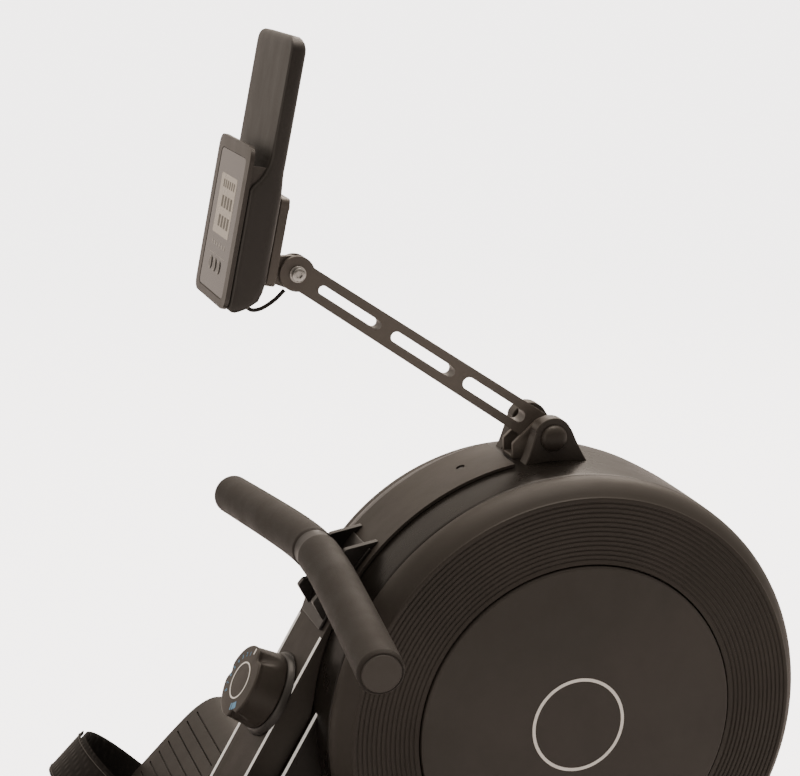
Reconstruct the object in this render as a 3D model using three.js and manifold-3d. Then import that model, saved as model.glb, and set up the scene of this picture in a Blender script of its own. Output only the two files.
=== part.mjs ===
// Folding magnetic rowing machine, built as an assembly of separate pieces.
// Millimetres, +Z up, +X towards the flywheel end, the user sits at -X and faces +X.
// The origin is on the floor, under the middle of the machine.

import * as THREE from 'three';
import { mergeVertices } from 'three/addons/utils/BufferGeometryUtils.js';
import Module from 'manifold-3d';

const wasm = await Module();
wasm.setup();

// ---------------------------------------------------------------- driving dimensions

const GAP = 0.3;                 // clearance between touching pieces
const HUB_X = 701;               // flywheel axis, along the machine
const HUB_Z = 330;               // flywheel axis, above the floor
const RIGHT = -1;                // side signs: -Y is the user's right
const LEFT = 1;

// Housing. All radii are from the flywheel axis, depths are from the middle plane.
const HOUSING_R = 203;
const HOUSING_WALL = 3;
const SHOULDER_D = 74;           // depth where the round housing meets the side cover
const LEFT_SHOULDER_R = 190;     // the left half tapers to this radius there
const COVER_RING_R = 190;        // outer edge of the flat grooved ring
const COVER_RING_D = 96.5;
const DISC_R = 133.4;
const DISC_D = 98.5;
const WEDGE_HALF = 43;           // half width of the sloping column behind its cover
const BAND_HALF = 33;            // half width of the cover band on the column
const BAND_R = 206;              // the band's radius, and the column face's distance
const BAND_BACK = 181.5;         // distance of the column shell's front edge
const COLUMN_SLOPE = 60;         // degrees from the floor
const COLUMN_FOOT = -137;        // height of the column's foot against the flywheel axis
const BAND_TOP_ANGLE = 99;       // degrees, where the band ends under the console arm

// Console arm.
const ARM_PIVOT = [1, 222];
const ARM_LENGTH = 250;
const ARM_ANGLE = 34.8;          // degrees above the floor
const ARM_THICK = 15;
const EAR_INNER = 20;

// Console, in its own tilted frame with the arm's top pivot as origin.
const CONSOLE_TILT = 11.5;
const CONSOLE_HALF = 51;
const BEZEL_HALF = 49;
const CONSOLE_FACE_X = -64.5;
const BEZEL_T = 3.8;

// Handle.
const HANDLE_CHORD = [-201, 114];   // line through the two ends
const HANDLE_HALF = 224.5;
const HANDLE_SHIFT = 15;            // the handle rests this far left of the middle plane
const HANDLE_BOW = 21.9;            // how far the middle stands off that line
const HANDLE_MID = [-185.5, 129.5];
const GRIP_R = 17.75;
const TUBE_R = 11;
const STRAP_SLOPE = 41.8;           // degrees, the webbing's fall from cradle to drum
const STRAP_MIDDLE = [-138.5, 0, 84];
const STRAP_LENGTH = 130;

// Frame, heights against the flywheel axis.
const BEAM_HALF_H = 27.5;
const BEAM_HALF_W = 25;
const BEAM_FRONT = [110, -256];
const BEAM_BEND = [-300, -165];
const BEAM_END_X = -482;
const PLATE_Y = 36;              // inner face of the two axle plates
const STABILISER_HALF = 230;
const STABILISER_X = 60;
const FOOT_HALF = 250;

// Pedals.
const PEDAL_AXLE = [-325, -169];
const PEDAL_ANGLE = 45;
const PEDAL_INNER = 48;
const PEDAL_OUTER = 163;

// Rail and seat.
const FOLD_PIVOT = [-530, -165];
const CLAMP_AT = [-512, 0, -150];   // hand screw that holds the rail down or up
const RAIL_LENGTH = 1060;        // behind the fold pivot
const RAIL_NOSE = 30;            // in front of it
const RAIL_HALF_H = 35;
const RAIL_HALF_W = 24.4;
const SEAT_X = -470;             // seat's place behind the fold pivot

const DRUM_AXLE = [-105, 20];
const FLYWHEEL_R = 150;
const SMALL_PULLEY_R = 22;
const BIG_PULLEY_R = 75;
const MAGNET_R = 160;            // inner radius of the brake magnets' arm, 10 mm off the rim
const MAGNET_T = 14;
const MAGNET_PIVOT = [163.35, -34.72];

// ---------------------------------------------------------------- materials

function material(color, roughness, metalness) {
  return new THREE.MeshStandardMaterial({ color, roughness, metalness });
}

const MAT = {
  blackPlastic: material(0x2b2825, 0.45, 0),
  coverPlastic: material(0x36322e, 0.5, 0),
  glossPlastic: material(0x1c1a18, 0.2, 0),
  softGrip: material(0x45403b, 0.85, 0),
  blackSteel: material(0x24221f, 0.5, 0.6),
  steel: material(0x8f9296, 0.35, 0.9),
  aluminium: material(0xa9abad, 0.4, 0.85),
  castIron: material(0x3d3d3f, 0.6, 0.8),
  rubber: material(0x1b1b1b, 0.9, 0),
  belt: material(0x141414, 0.8, 0),
  webbing: material(0x161513, 0.9, 0),
  leather: material(0x1f1d1b, 0.6, 0),
  glass: material(0x15181a, 0.1, 0),
};

// ---------------------------------------------------------------- solids

const rad = THREE.MathUtils.degToRad;

// A manifold solid from a closed geometry, turned the right way out.
function solid(geometry) {
  const bare = geometry.index ? geometry.toNonIndexed() : geometry.clone();
  bare.deleteAttribute('normal');
  bare.deleteAttribute('uv');
  const merged = mergeVertices(bare, 1e-4);
  const points = merged.attributes.position.array;
  const triangles = dropSlivers(Array.from(merged.index.array));
  if (signedVolume(points, triangles) < 0) {
    for (let i = 0; i < triangles.length; i += 3) {
      [triangles[i], triangles[i + 1]] = [triangles[i + 1], triangles[i]];
    }
  }
  return new wasm.Manifold(new wasm.Mesh({
    numProp: 3,
    vertProperties: new Float32Array(points),
    triVerts: new Uint32Array(triangles),
  }));
}

function dropSlivers(triangles) {
  const kept = [];
  for (let i = 0; i < triangles.length; i += 3) {
    const [a, b, c] = triangles.slice(i, i + 3);
    if (a !== b && b !== c && a !== c) kept.push(a, b, c);
  }
  return kept;
}

function signedVolume(points, triangles) {
  const corner = (i) => new THREE.Vector3().fromArray(points, 3 * i);
  let volume = 0;
  for (let i = 0; i < triangles.length; i += 3) {
    const [a, b, c] = triangles.slice(i, i + 3).map(corner);
    volume += a.dot(b.cross(c));
  }
  return volume;
}

function union(...parts) {
  return parts.reduce((whole, part) => whole.add(part));
}

function cut(whole, ...tools) {
  return tools.reduce((rest, tool) => rest.subtract(tool), whole);
}

function named(name, body, mat) {
  const { vertProperties, triVerts } = body.getMesh();
  const geometry = new THREE.BufferGeometry();
  geometry.setAttribute('position', new THREE.BufferAttribute(vertProperties, 3));
  geometry.setIndex(new THREE.BufferAttribute(triVerts, 1));
  geometry.computeVertexNormals();
  const mesh = new THREE.Mesh(geometry, mat);
  mesh.name = name;
  return mesh;
}

// Outline in the X-Z plane from [x, z] points, made solid between two depths on Y.
function plate(points, y0, y1) {
  const shape = new THREE.Shape(points.map(([x, z]) => new THREE.Vector2(x, z)));
  const geometry = new THREE.ExtrudeGeometry(shape, { depth: y1 - y0, bevelEnabled: false });
  geometry.rotateX(Math.PI / 2);
  geometry.translate(0, y1, 0);
  return solid(geometry);
}

function box(x0, x1, y0, y1, z0, z1) {
  const geometry = new THREE.BoxGeometry(x1 - x0, y1 - y0, z1 - z0);
  geometry.translate((x0 + x1) / 2, (y0 + y1) / 2, (z0 + z1) / 2);
  return solid(geometry);
}

// Round bar along Y.
function rod(x, z, r, y0, y1, sides = 20) {
  const geometry = new THREE.CylinderGeometry(r, r, y1 - y0, sides);
  geometry.translate(x, (y0 + y1) / 2, z);
  return solid(geometry);
}

// Solid of revolution about Y from [radius, y] points; a loop that avoids the axis is closed.
function turned(points, sides = 48) {
  const loop = points.map(([r, y]) => new THREE.Vector2(r, y));
  const onAxis = points[0][0] === 0 && points[points.length - 1][0] === 0;
  if (!onAxis) loop.push(loop[0].clone());
  return solid(new THREE.LatheGeometry(loop, sides));
}

function swept(shape, curve, steps, curveSegments = 12) {
  return solid(new THREE.ExtrudeGeometry(shape, {
    steps, bevelEnabled: false, extrudePath: curve, curveSegments,
  }));
}

function circle(r) {
  const shape = new THREE.Shape();
  shape.absarc(0, 0, r, 0, 2 * Math.PI);
  return shape;
}

// Points on a circle in the X-Z plane, angles in degrees.
function arc(r, from, to, steps, centre = [0, 0]) {
  const points = [];
  for (let i = 0; i <= steps; i++) {
    const a = rad(from + ((to - from) * i) / steps);
    points.push([centre[0] + r * Math.cos(a), centre[1] + r * Math.sin(a)]);
  }
  return points;
}

// Two depths on one side of the middle plane, in rising order.
function span(side, a, b) {
  return [side * a, side * b].sort((p, q) => p - q);
}

// ---------------------------------------------------------------- groups

const machine = new THREE.Group();
const hub = new THREE.Group();
hub.position.set(HUB_X, 0, HUB_Z);
machine.add(hub);

// The column face: its outward normal, its downhill direction, and points on it.
const faceAngle = rad(90 + COLUMN_SLOPE);
const faceNormal = [Math.cos(faceAngle), Math.sin(faceAngle)];
const downhill = [-Math.cos(rad(COLUMN_SLOPE)), -Math.sin(rad(COLUMN_SLOPE))];

function onFace(distance, along) {
  return [0, 1].map((i) => distance * faceNormal[i] + along * downhill[i]);
}

// Downhill distance at which a line parallel to the face reaches a height.
function alongAtHeight(distance, z) {
  return (z - distance * faceNormal[1]) / downhill[1];
}

// ---------------------------------------------------------------- frame

function beamLine(offset) {
  const slope = Math.atan2(BEAM_BEND[1] - BEAM_FRONT[1], BEAM_FRONT[0] - BEAM_BEND[0]);
  const across = [Math.sin(slope) * offset, Math.cos(slope) * offset];
  const bendShift = offset * Math.tan(slope / 2);
  return [
    [BEAM_FRONT[0] + across[0], BEAM_FRONT[1] + across[1]],
    [BEAM_BEND[0] + bendShift, BEAM_BEND[1] + offset],
    [BEAM_END_X, BEAM_BEND[1] + offset],
  ];
}

function baseBeam() {
  const top = beamLine(BEAM_HALF_H);
  const bottom = beamLine(-BEAM_HALF_H).reverse();
  const inTop = beamLine(BEAM_HALF_H - 3);
  const inBottom = beamLine(3 - BEAM_HALF_H).reverse();
  inTop[0] = [inTop[0][0] + 30, inTop[0][1] - 6.7];
  inBottom[2] = [inBottom[2][0] + 30, inBottom[2][1] - 6.7];
  inTop[2][0] -= 30;
  inBottom[0][0] -= 30;
  const tube = cut(
    plate([...top, ...bottom], -BEAM_HALF_W, BEAM_HALF_W),
    plate([...inTop, ...inBottom], 3 - BEAM_HALF_W, BEAM_HALF_W - 3),
  );
  const saddle = box(STABILISER_X - 25, STABILISER_X + 25, -22, 22, -278.9, -268);
  const cheeks = [RIGHT, LEFT].map((side) => {
    const outline = [[-565, -195], [-565, -140], [-545, -128], [-470, -128], [-470, -192],
      [-492, -210], [-492, -284.7], [-528, -284.7], [-528, -210]];
    return plate(outline, ...span(side, BEAM_HALF_W, 29.4));
  });
  const holes = [
    rod(...PEDAL_AXLE, 8.3, -40, 40),
    rod(...FOLD_PIVOT, 7.3, -40, 40),
    rod(CLAMP_AT[0], CLAMP_AT[2], 6.4, -40, 0),
  ];
  return cut(union(tube, saddle, ...cheeks), ...holes);
}

function axlePlate(side) {
  const magnetArm = [[140, -62], [...MAGNET_PIVOT.map((v) => v - 12)],
    ...arc(12, -60, 90, 6, MAGNET_PIVOT), [60, -14]];
  const front = side === RIGHT ? magnetArm : [];
  const web = plate([[-140, -176], [70, -222], [70, -120], ...front, [28, -10],
    ...arc(28, 0, 90, 5), [10, 92], [-14, 92], [-30, 50], [-120, 48], [-135, 30], [-135, -10]],
  ...span(side, PLATE_Y, PLATE_Y + 3));
  const foot = plate([[-140, -206], [70, -252.5], [70, -222], [-140, -176]],
    ...span(side, BEAM_HALF_W + GAP, PLATE_Y + 3));
  const through = span(side, 0, PLATE_Y + 20);
  const holes = [rod(0, 0, 8.3, ...through)];
  holes.push(side === LEFT ? rod(...DRUM_AXLE, 7.3, ...through)
    : rod(...MAGNET_PIVOT, 5.3, ...through));
  return cut(union(web, foot), ...holes);
}

function consolePost() {
  const [px, pz] = ARM_PIVOT;
  const tube = box(-14, 10, -11, 11, 56, 201);
  const crossBar = box(-12, 8, 0, PLATE_Y - GAP, 60, 88);
  const base = box(px - 27, px + 12, -12, 12, 199, 203.4);
  const cheeks = [RIGHT, LEFT].map((side) => {
    return plate([[px - 27, 200], [px + 12, 200], ...arc(12, 0, 140, 8, [px, pz]), [px - 27, 214]],
      ...span(side, 8.3, 12));
  });
  return cut(union(tube, crossBar, base, ...cheeks), rod(px, pz, 5.4, -20, 20));
}

function frontStabiliser() {
  const tube = rod(STABILISER_X, -301.5, 22, -STABILISER_HALF, STABILISER_HALF, 24);
  return cut(tube, rod(STABILISER_X, -301.5, 19, -STABILISER_HALF - 1, STABILISER_HALF + 1, 24));
}

// End cap of the front tube: a rubber-soled block with a stub axle for its wheel.
function frontCap(side) {
  const x = STABILISER_X;
  const y = (a, b) => span(side, a, b);
  const sole = [[x - 30, -330], [x + 30, -330], [x + 33, -318], [x + 27, -284],
    [x + 14, -276], [x - 14, -276], [x - 30, -288], [x - 33, -318]];
  const block = plate(sole, ...y(206, FOOT_HALF));
  const arm = plate([[x + 20, -322], [x + 58, -304], [x + 58, -292], [x + 46, -286],
    [x + 20, -290]], ...y(241, 247));
  const stub = rod(x + 50, -297, 5, ...y(212, 242), 12);
  const pocket = rod(x, -301.5, 22.3, ...y(200, STABILISER_HALF + GAP), 24);
  const cleared = cut(block, pocket, box(x + 14, x + 90, ...y(200, 240.7), -340, -250));
  return union(cleared, arm, stub);
}

function transportWheel(side) {
  const profile = [[5.3, 216], [12, 216], [12, 219], [24, 219], [24, 216], [27, 218],
    [27, 235], [24, 237], [24, 234], [12, 234], [12, 237], [5.3, 237]];
  return turned(profile.map(([r, d]) => [r, side * d]), 24);
}

function midSupport() {
  const tube = rod(-510, -307, 22, -160, 160, 20);
  const feet = [-140, 140].map((y) => box(-530, -490, y - 20, y + 20, -330, -307));
  return union(tube, ...feet);
}

// ---------------------------------------------------------------- housing

// Side outline of the column behind its cover, open at the foot for the frame.
function wedgeOutline(inset, foot) {
  const start = onFace(BAND_BACK - inset, -60);
  const end = onFace(BAND_BACK - inset, alongAtHeight(BAND_BACK - inset, COLUMN_FOOT - foot));
  const rightEnd = [60 - inset, -215 - foot];
  return [start, end, rightEnd, [100 - inset, -150], [60, 0]];
}

function shell(side) {
  const d = (v) => side * v;
  const rim = side === RIGHT
    ? [[HOUSING_R, 0.15], [HOUSING_R - 0.6, 40], [HOUSING_R - 1, SHOULDER_D]]
    : [[HOUSING_R, 0.15], [HOUSING_R - 1.5, 30], [197, 55], [LEFT_SHOULDER_R, SHOULDER_D]];
  const ring = turned([[0, 0.15], ...rim, [0, SHOULDER_D]].map(([r, a]) => [r, d(a)]), 64);
  const y = (a, b) => span(side, a, b);
  const wedge = plate(wedgeOutline(0, 0), ...y(0.15, WEDGE_HALF));
  const [px, pz] = ARM_PIVOT;
  const ear = plate([[-22, 190], ...arc(17, 155, 35, 8, [px, pz]), [34, 190]],
    ...y(EAR_INNER, BAND_HALF));
  const outside = union(ring, wedge, ear);
  const inRim = rim.map(([r, a]) => [r - HOUSING_WALL, Math.min(a, SHOULDER_D - 3)]);
  const mouth = rim[rim.length - 1][0] - 10;
  const ringInside = turned([[0, -1], [HOUSING_R - HOUSING_WALL, -1], ...inRim,
    [mouth, SHOULDER_D - 3], [mouth, SHOULDER_D + 1], [0, SHOULDER_D + 1]]
    .map(([r, a]) => [r, d(a)]), 64);
  const wedgeInside = plate(wedgeOutline(2.7, 12), ...y(-1, WEDGE_HALF - 2.7));
  const postWindow = box(px - 29, px + 14, ...y(-1, 12.5), 150, 240);
  const boltHole = rod(px, pz, 5.4, ...y(0, 60));
  return cut(outside, ringInside, wedgeInside, postWindow, boltHole, strapSlot());
}

// Flat bar lying along the webbing's way from the cradle down to the drum.
function alongStrap(length, width, height) {
  const bar = new THREE.BoxGeometry(length, width, height);
  bar.rotateY(rad(STRAP_SLOPE));
  bar.translate(...STRAP_MIDDLE);
  return solid(bar);
}

function strapSlot() {
  return alongStrap(STRAP_LENGTH, 26, 12);
}

function columnCover() {
  const foot = COLUMN_FOOT + 1;
  const outer = [
    ...arc(BAND_R, BAND_TOP_ANGLE, 150, 18),
    onFace(BAND_R, alongAtHeight(BAND_R, foot)),
    onFace(BAND_BACK + GAP, alongAtHeight(BAND_BACK + GAP, foot)),
    ...arc(HOUSING_R + GAP, 176.6, BAND_TOP_ANGLE, 26),
  ];
  const inner = [
    onFace(BAND_R - 2.7, 20),
    onFace(BAND_R - 2.7, alongAtHeight(BAND_R - 2.7, foot - 8)),
    onFace(BAND_BACK - 6, alongAtHeight(BAND_BACK - 6, foot - 8)),
    onFace(BAND_BACK - 6, 40),
  ];
  const body = plate(outer, -BAND_HALF, BAND_HALF);
  const hollow = plate(inner, 3 - BAND_HALF, BAND_HALF - 3);
  return cut(body, hollow, strapSlot());
}

function sideCover(side) {
  const profile = [[134.6, 90], [134.6, COVER_RING_D], [COVER_RING_R - 1.5, COVER_RING_D],
    [COVER_RING_R, 95.6], [196, 90], [200, 83], [202, 75.5], [202, SHOULDER_D + GAP],
    [198.5, SHOULDER_D + GAP], [196.8, 81], [193, 87], [187.5, 92.5], [138, 92.5], [138, 90]];
  const squeeze = side === RIGHT ? 1 : (LEFT_SHOULDER_R - 138) / (202 - 138);
  return turned(profile.map(([r, d]) =>
    [r > 138 ? 138 + (r - 138) * squeeze : r, side * d]), 64);
}

function sideDisc(side) {
  const profile = [[0, 95], [130.4, 95], [130.4, 90], [DISC_R, 90], [DISC_R, 97.3],
    [DISC_R - 1.2, DISC_D], [0, DISC_D]];
  return turned(profile.map(([r, d]) => [r, side * d]), 48);
}

function pivotCap(side) {
  const profile = [[0, 33.3], [11, 33.3], [11, 35], [9.5, 37], [6, 38.6], [0, 39.4]];
  return turned(profile.map(([r, d]) => [r, side * d]), 20);
}

// The cradle holds the middle of the handle between two upper and two lower fingers.
function handleCradle() {
  const back = plate([
    ...arc(BAND_R + GAP, 137, 150, 5), onFace(BAND_R + GAP, 30), onFace(BAND_R + 3, 30),
    ...arc(BAND_R + 3, 150, 137, 5)], -26, 26);
  const upper = [...arc(BAND_R + GAP, 135, 144, 4), [-172, 133], [-175, 139.5], [-172.5, 142]];
  const lower = [...arc(BAND_R + GAP, 149, 150, 1), onFace(BAND_R + GAP, 26), [-191, 85],
    [-199, 102], [-195.5, 105.5]];
  const fingers = [];
  for (const side of [RIGHT, LEFT]) {
    const y = span(side, 18.5, 24);
    fingers.push(plate(upper, ...y), plate(lower, ...y));
  }
  return cut(union(back, ...fingers), rod(...HANDLE_MID, GRIP_R + 0.6, -40, 40, 32),
    strapSlot());
}

// ---------------------------------------------------------------- drive

function flywheel() {
  const profile = [[8.4, -36 + GAP], [16, -36 + GAP], [16, -28], [112, -28], [118, -34],
    [FLYWHEEL_R, -34], [FLYWHEEL_R, -16], [118, -16], [112, -22], [16, -22], [16, 16],
    [SMALL_PULLEY_R, 16], [SMALL_PULLEY_R, 29], [12, 29], [12, 36 - GAP], [8.4, 36 - GAP]];
  return turned(profile, 48);
}

// The webbing winds on the drum, which is moulded with the big belt pulley.
function strapDrum() {
  const profile = [[7.4, -15], [34, -15], [34, -13], [24, -13], [24, 13], [34, 13],
    [34, 15], [18, 15], [18, 20], [66, 20], [70, 16.5], [BIG_PULLEY_R, 16.5],
    [BIG_PULLEY_R, 28.5], [70, 28.5], [66, 24], [18, 24], [18, 33], [7.4, 33]];
  return turned(profile, 36);
}

// Outline of a belt over the big pulley and the flywheel's small one.
function beltOutline(extra) {
  const [dx, dz] = DRUM_AXLE;
  const line = THREE.MathUtils.radToDeg(Math.atan2(dz, dx));
  const spread = THREE.MathUtils.radToDeg(
    Math.acos((SMALL_PULLEY_R - BIG_PULLEY_R) / Math.hypot(dx, dz)));
  return [
    ...arc(BIG_PULLEY_R + extra, line - spread, line + spread, 24, DRUM_AXLE),
    ...arc(SMALL_PULLEY_R + extra, line + spread, line + 360 - spread, 10),
  ];
}

function driveBelt() {
  return cut(plate(beltOutline(2.3), 18, 27), plate(beltOutline(GAP), 10, 40));
}

function magnetBracket() {
  const outline = [...arc(MAGNET_R + MAGNET_T, -12, -78, 16), ...arc(MAGNET_R, -78, -12, 16)];
  const body = plate(outline, -35, -15);
  const boss = rod(...MAGNET_PIVOT, 9, -35, -15);
  const pin = rod(...MAGNET_PIVOT, 5, -43, -30);
  return union(body, boss, pin);
}

// ---------------------------------------------------------------- tension knob

function knobBase() {
  return turned([[0, GAP], [36, GAP], [36, 2], [33.5, 6], [0, 6]], 40);
}

// Round grip with three finger scoops above its foot.
function tensionKnob() {
  const round = turned([[0, 6.4], [32, 6.4], [32.5, 9], [29.5, 16], [29, 26], [30.5, 29.5],
    [29.5, 31.2], [0, 31.2]], 40);
  const scoops = [];
  for (let i = 0; i < 3; i++) {
    const a = rad(120 * i + 155);
    const scoop = new THREE.CylinderGeometry(16, 16, 40, 20);
    scoop.translate(43 * Math.cos(a), 30, 43 * Math.sin(a));
    scoops.push(solid(scoop));
  }
  return cut(round, ...scoops);
}

// ---------------------------------------------------------------- console arm

function consoleArm() {
  const outline = [
    ...arc(13, 90, -90, 10),
    [-232, -11],
    ...arc(14, -50, -310, 16, [-ARM_LENGTH, 0]),
    [-232, 11],
  ];
  const slots = [[-83, -19, 5.2], [-157, -93, 4.5], [-229, -168, 3.7]].map(([x0, x1, r]) =>
    plate([...arc(r, 90, 270, 6, [x0 + r, 0]), ...arc(r, -90, 90, 6, [x1 - r, 0])], -20, 20));
  const half = ARM_THICK / 2;
  const fork = box(-ARM_LENGTH - 20, -ARM_LENGTH + 15.5, -3.4, 3.4, -20, 20);
  const holes = [rod(0, 0, 5.4, -20, 20), rod(-ARM_LENGTH, 0, 4.4, -20, 20)];
  return cut(plate(outline, -half, half), ...slots, fork, ...holes);
}

function armPin() {
  return rod(0, 0, 5, 3 - BAND_HALF, BAND_HALF - 3, 16);
}

function tiltBolt() {
  const head = rod(0, 0, 6.2, -12.4, -ARM_THICK / 2 - GAP, 16);
  const shank = rod(0, 0, 4, -9, 11, 16);
  const nut = rod(0, 0, 6.6, ARM_THICK / 2 + GAP, 12.5, 6);
  return union(head, shank, nut);
}

// ---------------------------------------------------------------- console

function consoleHousing() {
  const front = CONSOLE_FACE_X + BEZEL_T;
  const side = plate([[front, -28.5], [-56, -30], [-46, -26], [-38, -19], [-36.5, -7],
    [-36.5, 169], [-39, 176], [-43, 178.5], [-49, 178.5], [-49.3, 88], [-51, 79], [-55, 71],
    [front, 63]], -CONSOLE_HALF, CONSOLE_HALF);
  const bulge = plate([[-45, -16], [-34, -14], [-28, -4], [-28, 60], [-34, 72], [-45, 80]],
    -20, 20);
  return union(side, bulge);
}

function consoleBezel() {
  const face = CONSOLE_FACE_X;
  const body = plate([[face, -28], [face + 1.5, -29.5], [face + BEZEL_T - GAP, -29.5],
    [face + BEZEL_T - GAP, 93.5], [face + 1.5, 94], [face, 92]], -BEZEL_HALF, BEZEL_HALF);
  const window = box(face - 1, face + 2.2, -38.4, 38.4, -23.4, 84.4);
  const wells = buttonPlaces().map(([y, z]) => {
    const well = new THREE.BoxGeometry(8, 8.6, 11.6);
    well.translate(face + 6, y, z);
    return solid(well);
  });
  return cut(body, window, ...wells);
}

function buttonPlaces() {
  return [[13, -3], [0, -3], [-13, -3]];
}

function consoleGlass() {
  const face = CONSOLE_FACE_X;
  const sheet = box(face + 0.3, face + 1.9, -38, 38, -23, 84);
  const wells = buttonPlaces().map(([y, z]) => box(face - 2, face + 4, y - 4.3, y + 4.3,
    z - 5.8, z + 5.8));
  return cut(sheet, ...wells);
}

function consoleButton(y, z) {
  const outline = new THREE.Shape();
  outline.absellipse(y, z, 4, 5.5, 0, 2 * Math.PI);
  const geometry = new THREE.ExtrudeGeometry(outline, {
    depth: 2.4, bevelEnabled: false, curveSegments: 8,
  });
  geometry.applyMatrix4(new THREE.Matrix4().makeBasis(
    new THREE.Vector3(0, 1, 0), new THREE.Vector3(0, 0, 1), new THREE.Vector3(1, 0, 0)));
  geometry.translate(CONSOLE_FACE_X - 0.3, 0, 0);
  return solid(geometry);
}

function consoleBracket() {
  const back = box(-27.7, -20.2, -22, 22, -11, 58);
  const lug = plate([[-21.9, 12], [-6, 13], ...arc(14, 70, -100, 10), [-21.9, -13]], -3, 3);
  return cut(union(back, lug), rod(0, 0, 4.4, -10, 10));
}

function consoleCable() {
  const route = new THREE.CatmullRomCurve3([
    new THREE.Vector3(-39.3, 4, -21.3), new THREE.Vector3(-37, 4, -25.2),
    new THREE.Vector3(-34, 4, -31), new THREE.Vector3(-28, 4, -34.5),
    new THREE.Vector3(-20, 4, -32), new THREE.Vector3(-11, 4, -24),
    new THREE.Vector3(-4.8, 4, -15.4)]);
  return swept(circle(1.6), route, 20, 2);
}

// ---------------------------------------------------------------- handle

// A shallow bow: two nearly straight halves joined by a soft bend at the middle.
class BowCurve extends THREE.Curve {
  constructor(y0, y1) {
    super();
    this.y0 = y0;
    this.y1 = y1;
  }

  getPoint(t) {
    const y = this.y0 + (this.y1 - this.y0) * t;
    const softness = 6;
    const end = HANDLE_BOW + softness;
    const sag = Math.hypot((end * (y - HANDLE_SHIFT)) / HANDLE_HALF, softness) - softness;
    const off = (HANDLE_BOW - sag) / Math.SQRT2;
    return new THREE.Vector3(HANDLE_CHORD[0] + off, y, HANDLE_CHORD[1] + off);
  }
}

function handleTube() {
  const reach = HANDLE_HALF - 8;
  const hollow = circle(TUBE_R);
  const bore = new THREE.Path();
  bore.absarc(0, 0, TUBE_R - 2, 0, 2 * Math.PI, true);
  hollow.holes.push(bore);
  return swept(hollow, new BowCurve(HANDLE_SHIFT - reach, HANDLE_SHIFT + reach), 18, 8);
}

function grip(y0, y1) {
  const closedAtStart = y0 < -200;
  const body = swept(circle(GRIP_R), new BowCurve(y0, y1), 12, 10);
  const bore = closedAtStart ? new BowCurve(y0 + 6, y1 + 5) : new BowCurve(y0 - 5, y1 - 6);
  return cut(body, swept(circle(TUBE_R + GAP), bore, 12, 8));
}

function handleSleeve() {
  const body = swept(circle(16.2), new BowCurve(9.3, 20.7), 2, 10);
  return cut(body, swept(circle(TUBE_R + GAP), new BowCurve(5, 25), 3, 8));
}

// Flat webbing from the middle of the handle, through the cradle, to the drum.
function pullStrap() {
  return cut(alongStrap(STRAP_LENGTH, 22, 1.8), rod(...HANDLE_MID, GRIP_R + GAP, -20, 20, 32));
}

// ---------------------------------------------------------------- pedals

function pedal(side) {
  const y = (a, b) => span(side, a, b);
  const plateBody = plate([[-165, 22], [-165, 30], [-140, 31], [60, 33], [126, 32],
    [146, 25], [150, 18], [144, 12], [120, 20], [60, 22]], ...y(PEDAL_INNER, PEDAL_OUTER));
  const heel = plate([[-165, 22], [-177, 34], [-180, 74], [-174, 78], [-168, 74], [-164, 38],
    [-150, 30], [-150, 22]], ...y(PEDAL_INNER, PEDAL_OUTER));
  const walls = [[PEDAL_INNER, PEDAL_INNER + 6], [PEDAL_OUTER - 6, PEDAL_OUTER]].map(([a, b]) =>
    plate([[-176, 26], [-178, 66], [-150, 60], [-100, 34], [-100, 26]], ...y(a, b)));
  const boss = rod(0, 0, 14, ...y(PEDAL_INNER, PEDAL_OUTER));
  const webs = [58, 105, 150].map((d) =>
    plate([[-40, 24], [40, 24], [12, -6], [-12, -6]], ...y(d - 4, d + 4)));
  const bore = rod(0, 0, 8.3, ...y(PEDAL_INNER - 2, PEDAL_OUTER - 5));
  return cut(union(plateBody, heel, ...walls, boss, ...webs), bore);
}

function footStrap(side) {
  const middle = side * (PEDAL_INNER + PEDAL_OUTER) / 2;
  const halfSpan = 61;
  const rise = 78;
  const top = 34;
  const arch = (grow) => {
    const points = [];
    for (let i = 0; i <= 14; i++) {
      const a = Math.PI * (i / 14);
      const lift = Math.pow(Math.sin(a), 0.75);
      points.push([middle + (halfSpan + grow) * Math.cos(a), top - 6 + (rise + 6 + grow) * lift]);
    }
    return points;
  };
  const loop = [...arch(2.4), ...arch(0).reverse()];
  const shape = new THREE.Shape(loop.map(([y, z]) => new THREE.Vector2(y, z)));
  const geometry = new THREE.ExtrudeGeometry(shape, { depth: 46, bevelEnabled: false });
  geometry.applyMatrix4(new THREE.Matrix4().makeBasis(
    new THREE.Vector3(0, 1, 0), new THREE.Vector3(0, 0, 1), new THREE.Vector3(1, 0, 0)));
  geometry.translate(12, 0, 0);
  return solid(geometry);
}

// ---------------------------------------------------------------- rail

function rail() {
  const outer = box(-RAIL_LENGTH, RAIL_NOSE, -RAIL_HALF_W, RAIL_HALF_W, -RAIL_HALF_H,
    RAIL_HALF_H);
  const inner = box(-RAIL_LENGTH - 5, RAIL_NOSE + 5, 4 - RAIL_HALF_W, RAIL_HALF_W - 4,
    4 - RAIL_HALF_H, RAIL_HALF_H - 4);
  const grooves = [RIGHT, LEFT].map((side) => box(-RAIL_LENGTH - 5, RAIL_NOSE + 5,
    ...span(side, RAIL_HALF_W - 2, RAIL_HALF_W + 2), -9, 9));
  return cut(outer, inner, ...grooves, rod(0, 0, 7.3, -40, 40));
}

function railEndCap() {
  const plug = box(-RAIL_LENGTH - GAP - 8, -RAIL_LENGTH - GAP, -30, 30, -40, 62);
  const lip = box(-RAIL_LENGTH - 15, -RAIL_LENGTH - 8, -26, 26, -36, 58);
  return union(plug, lip);
}

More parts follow.
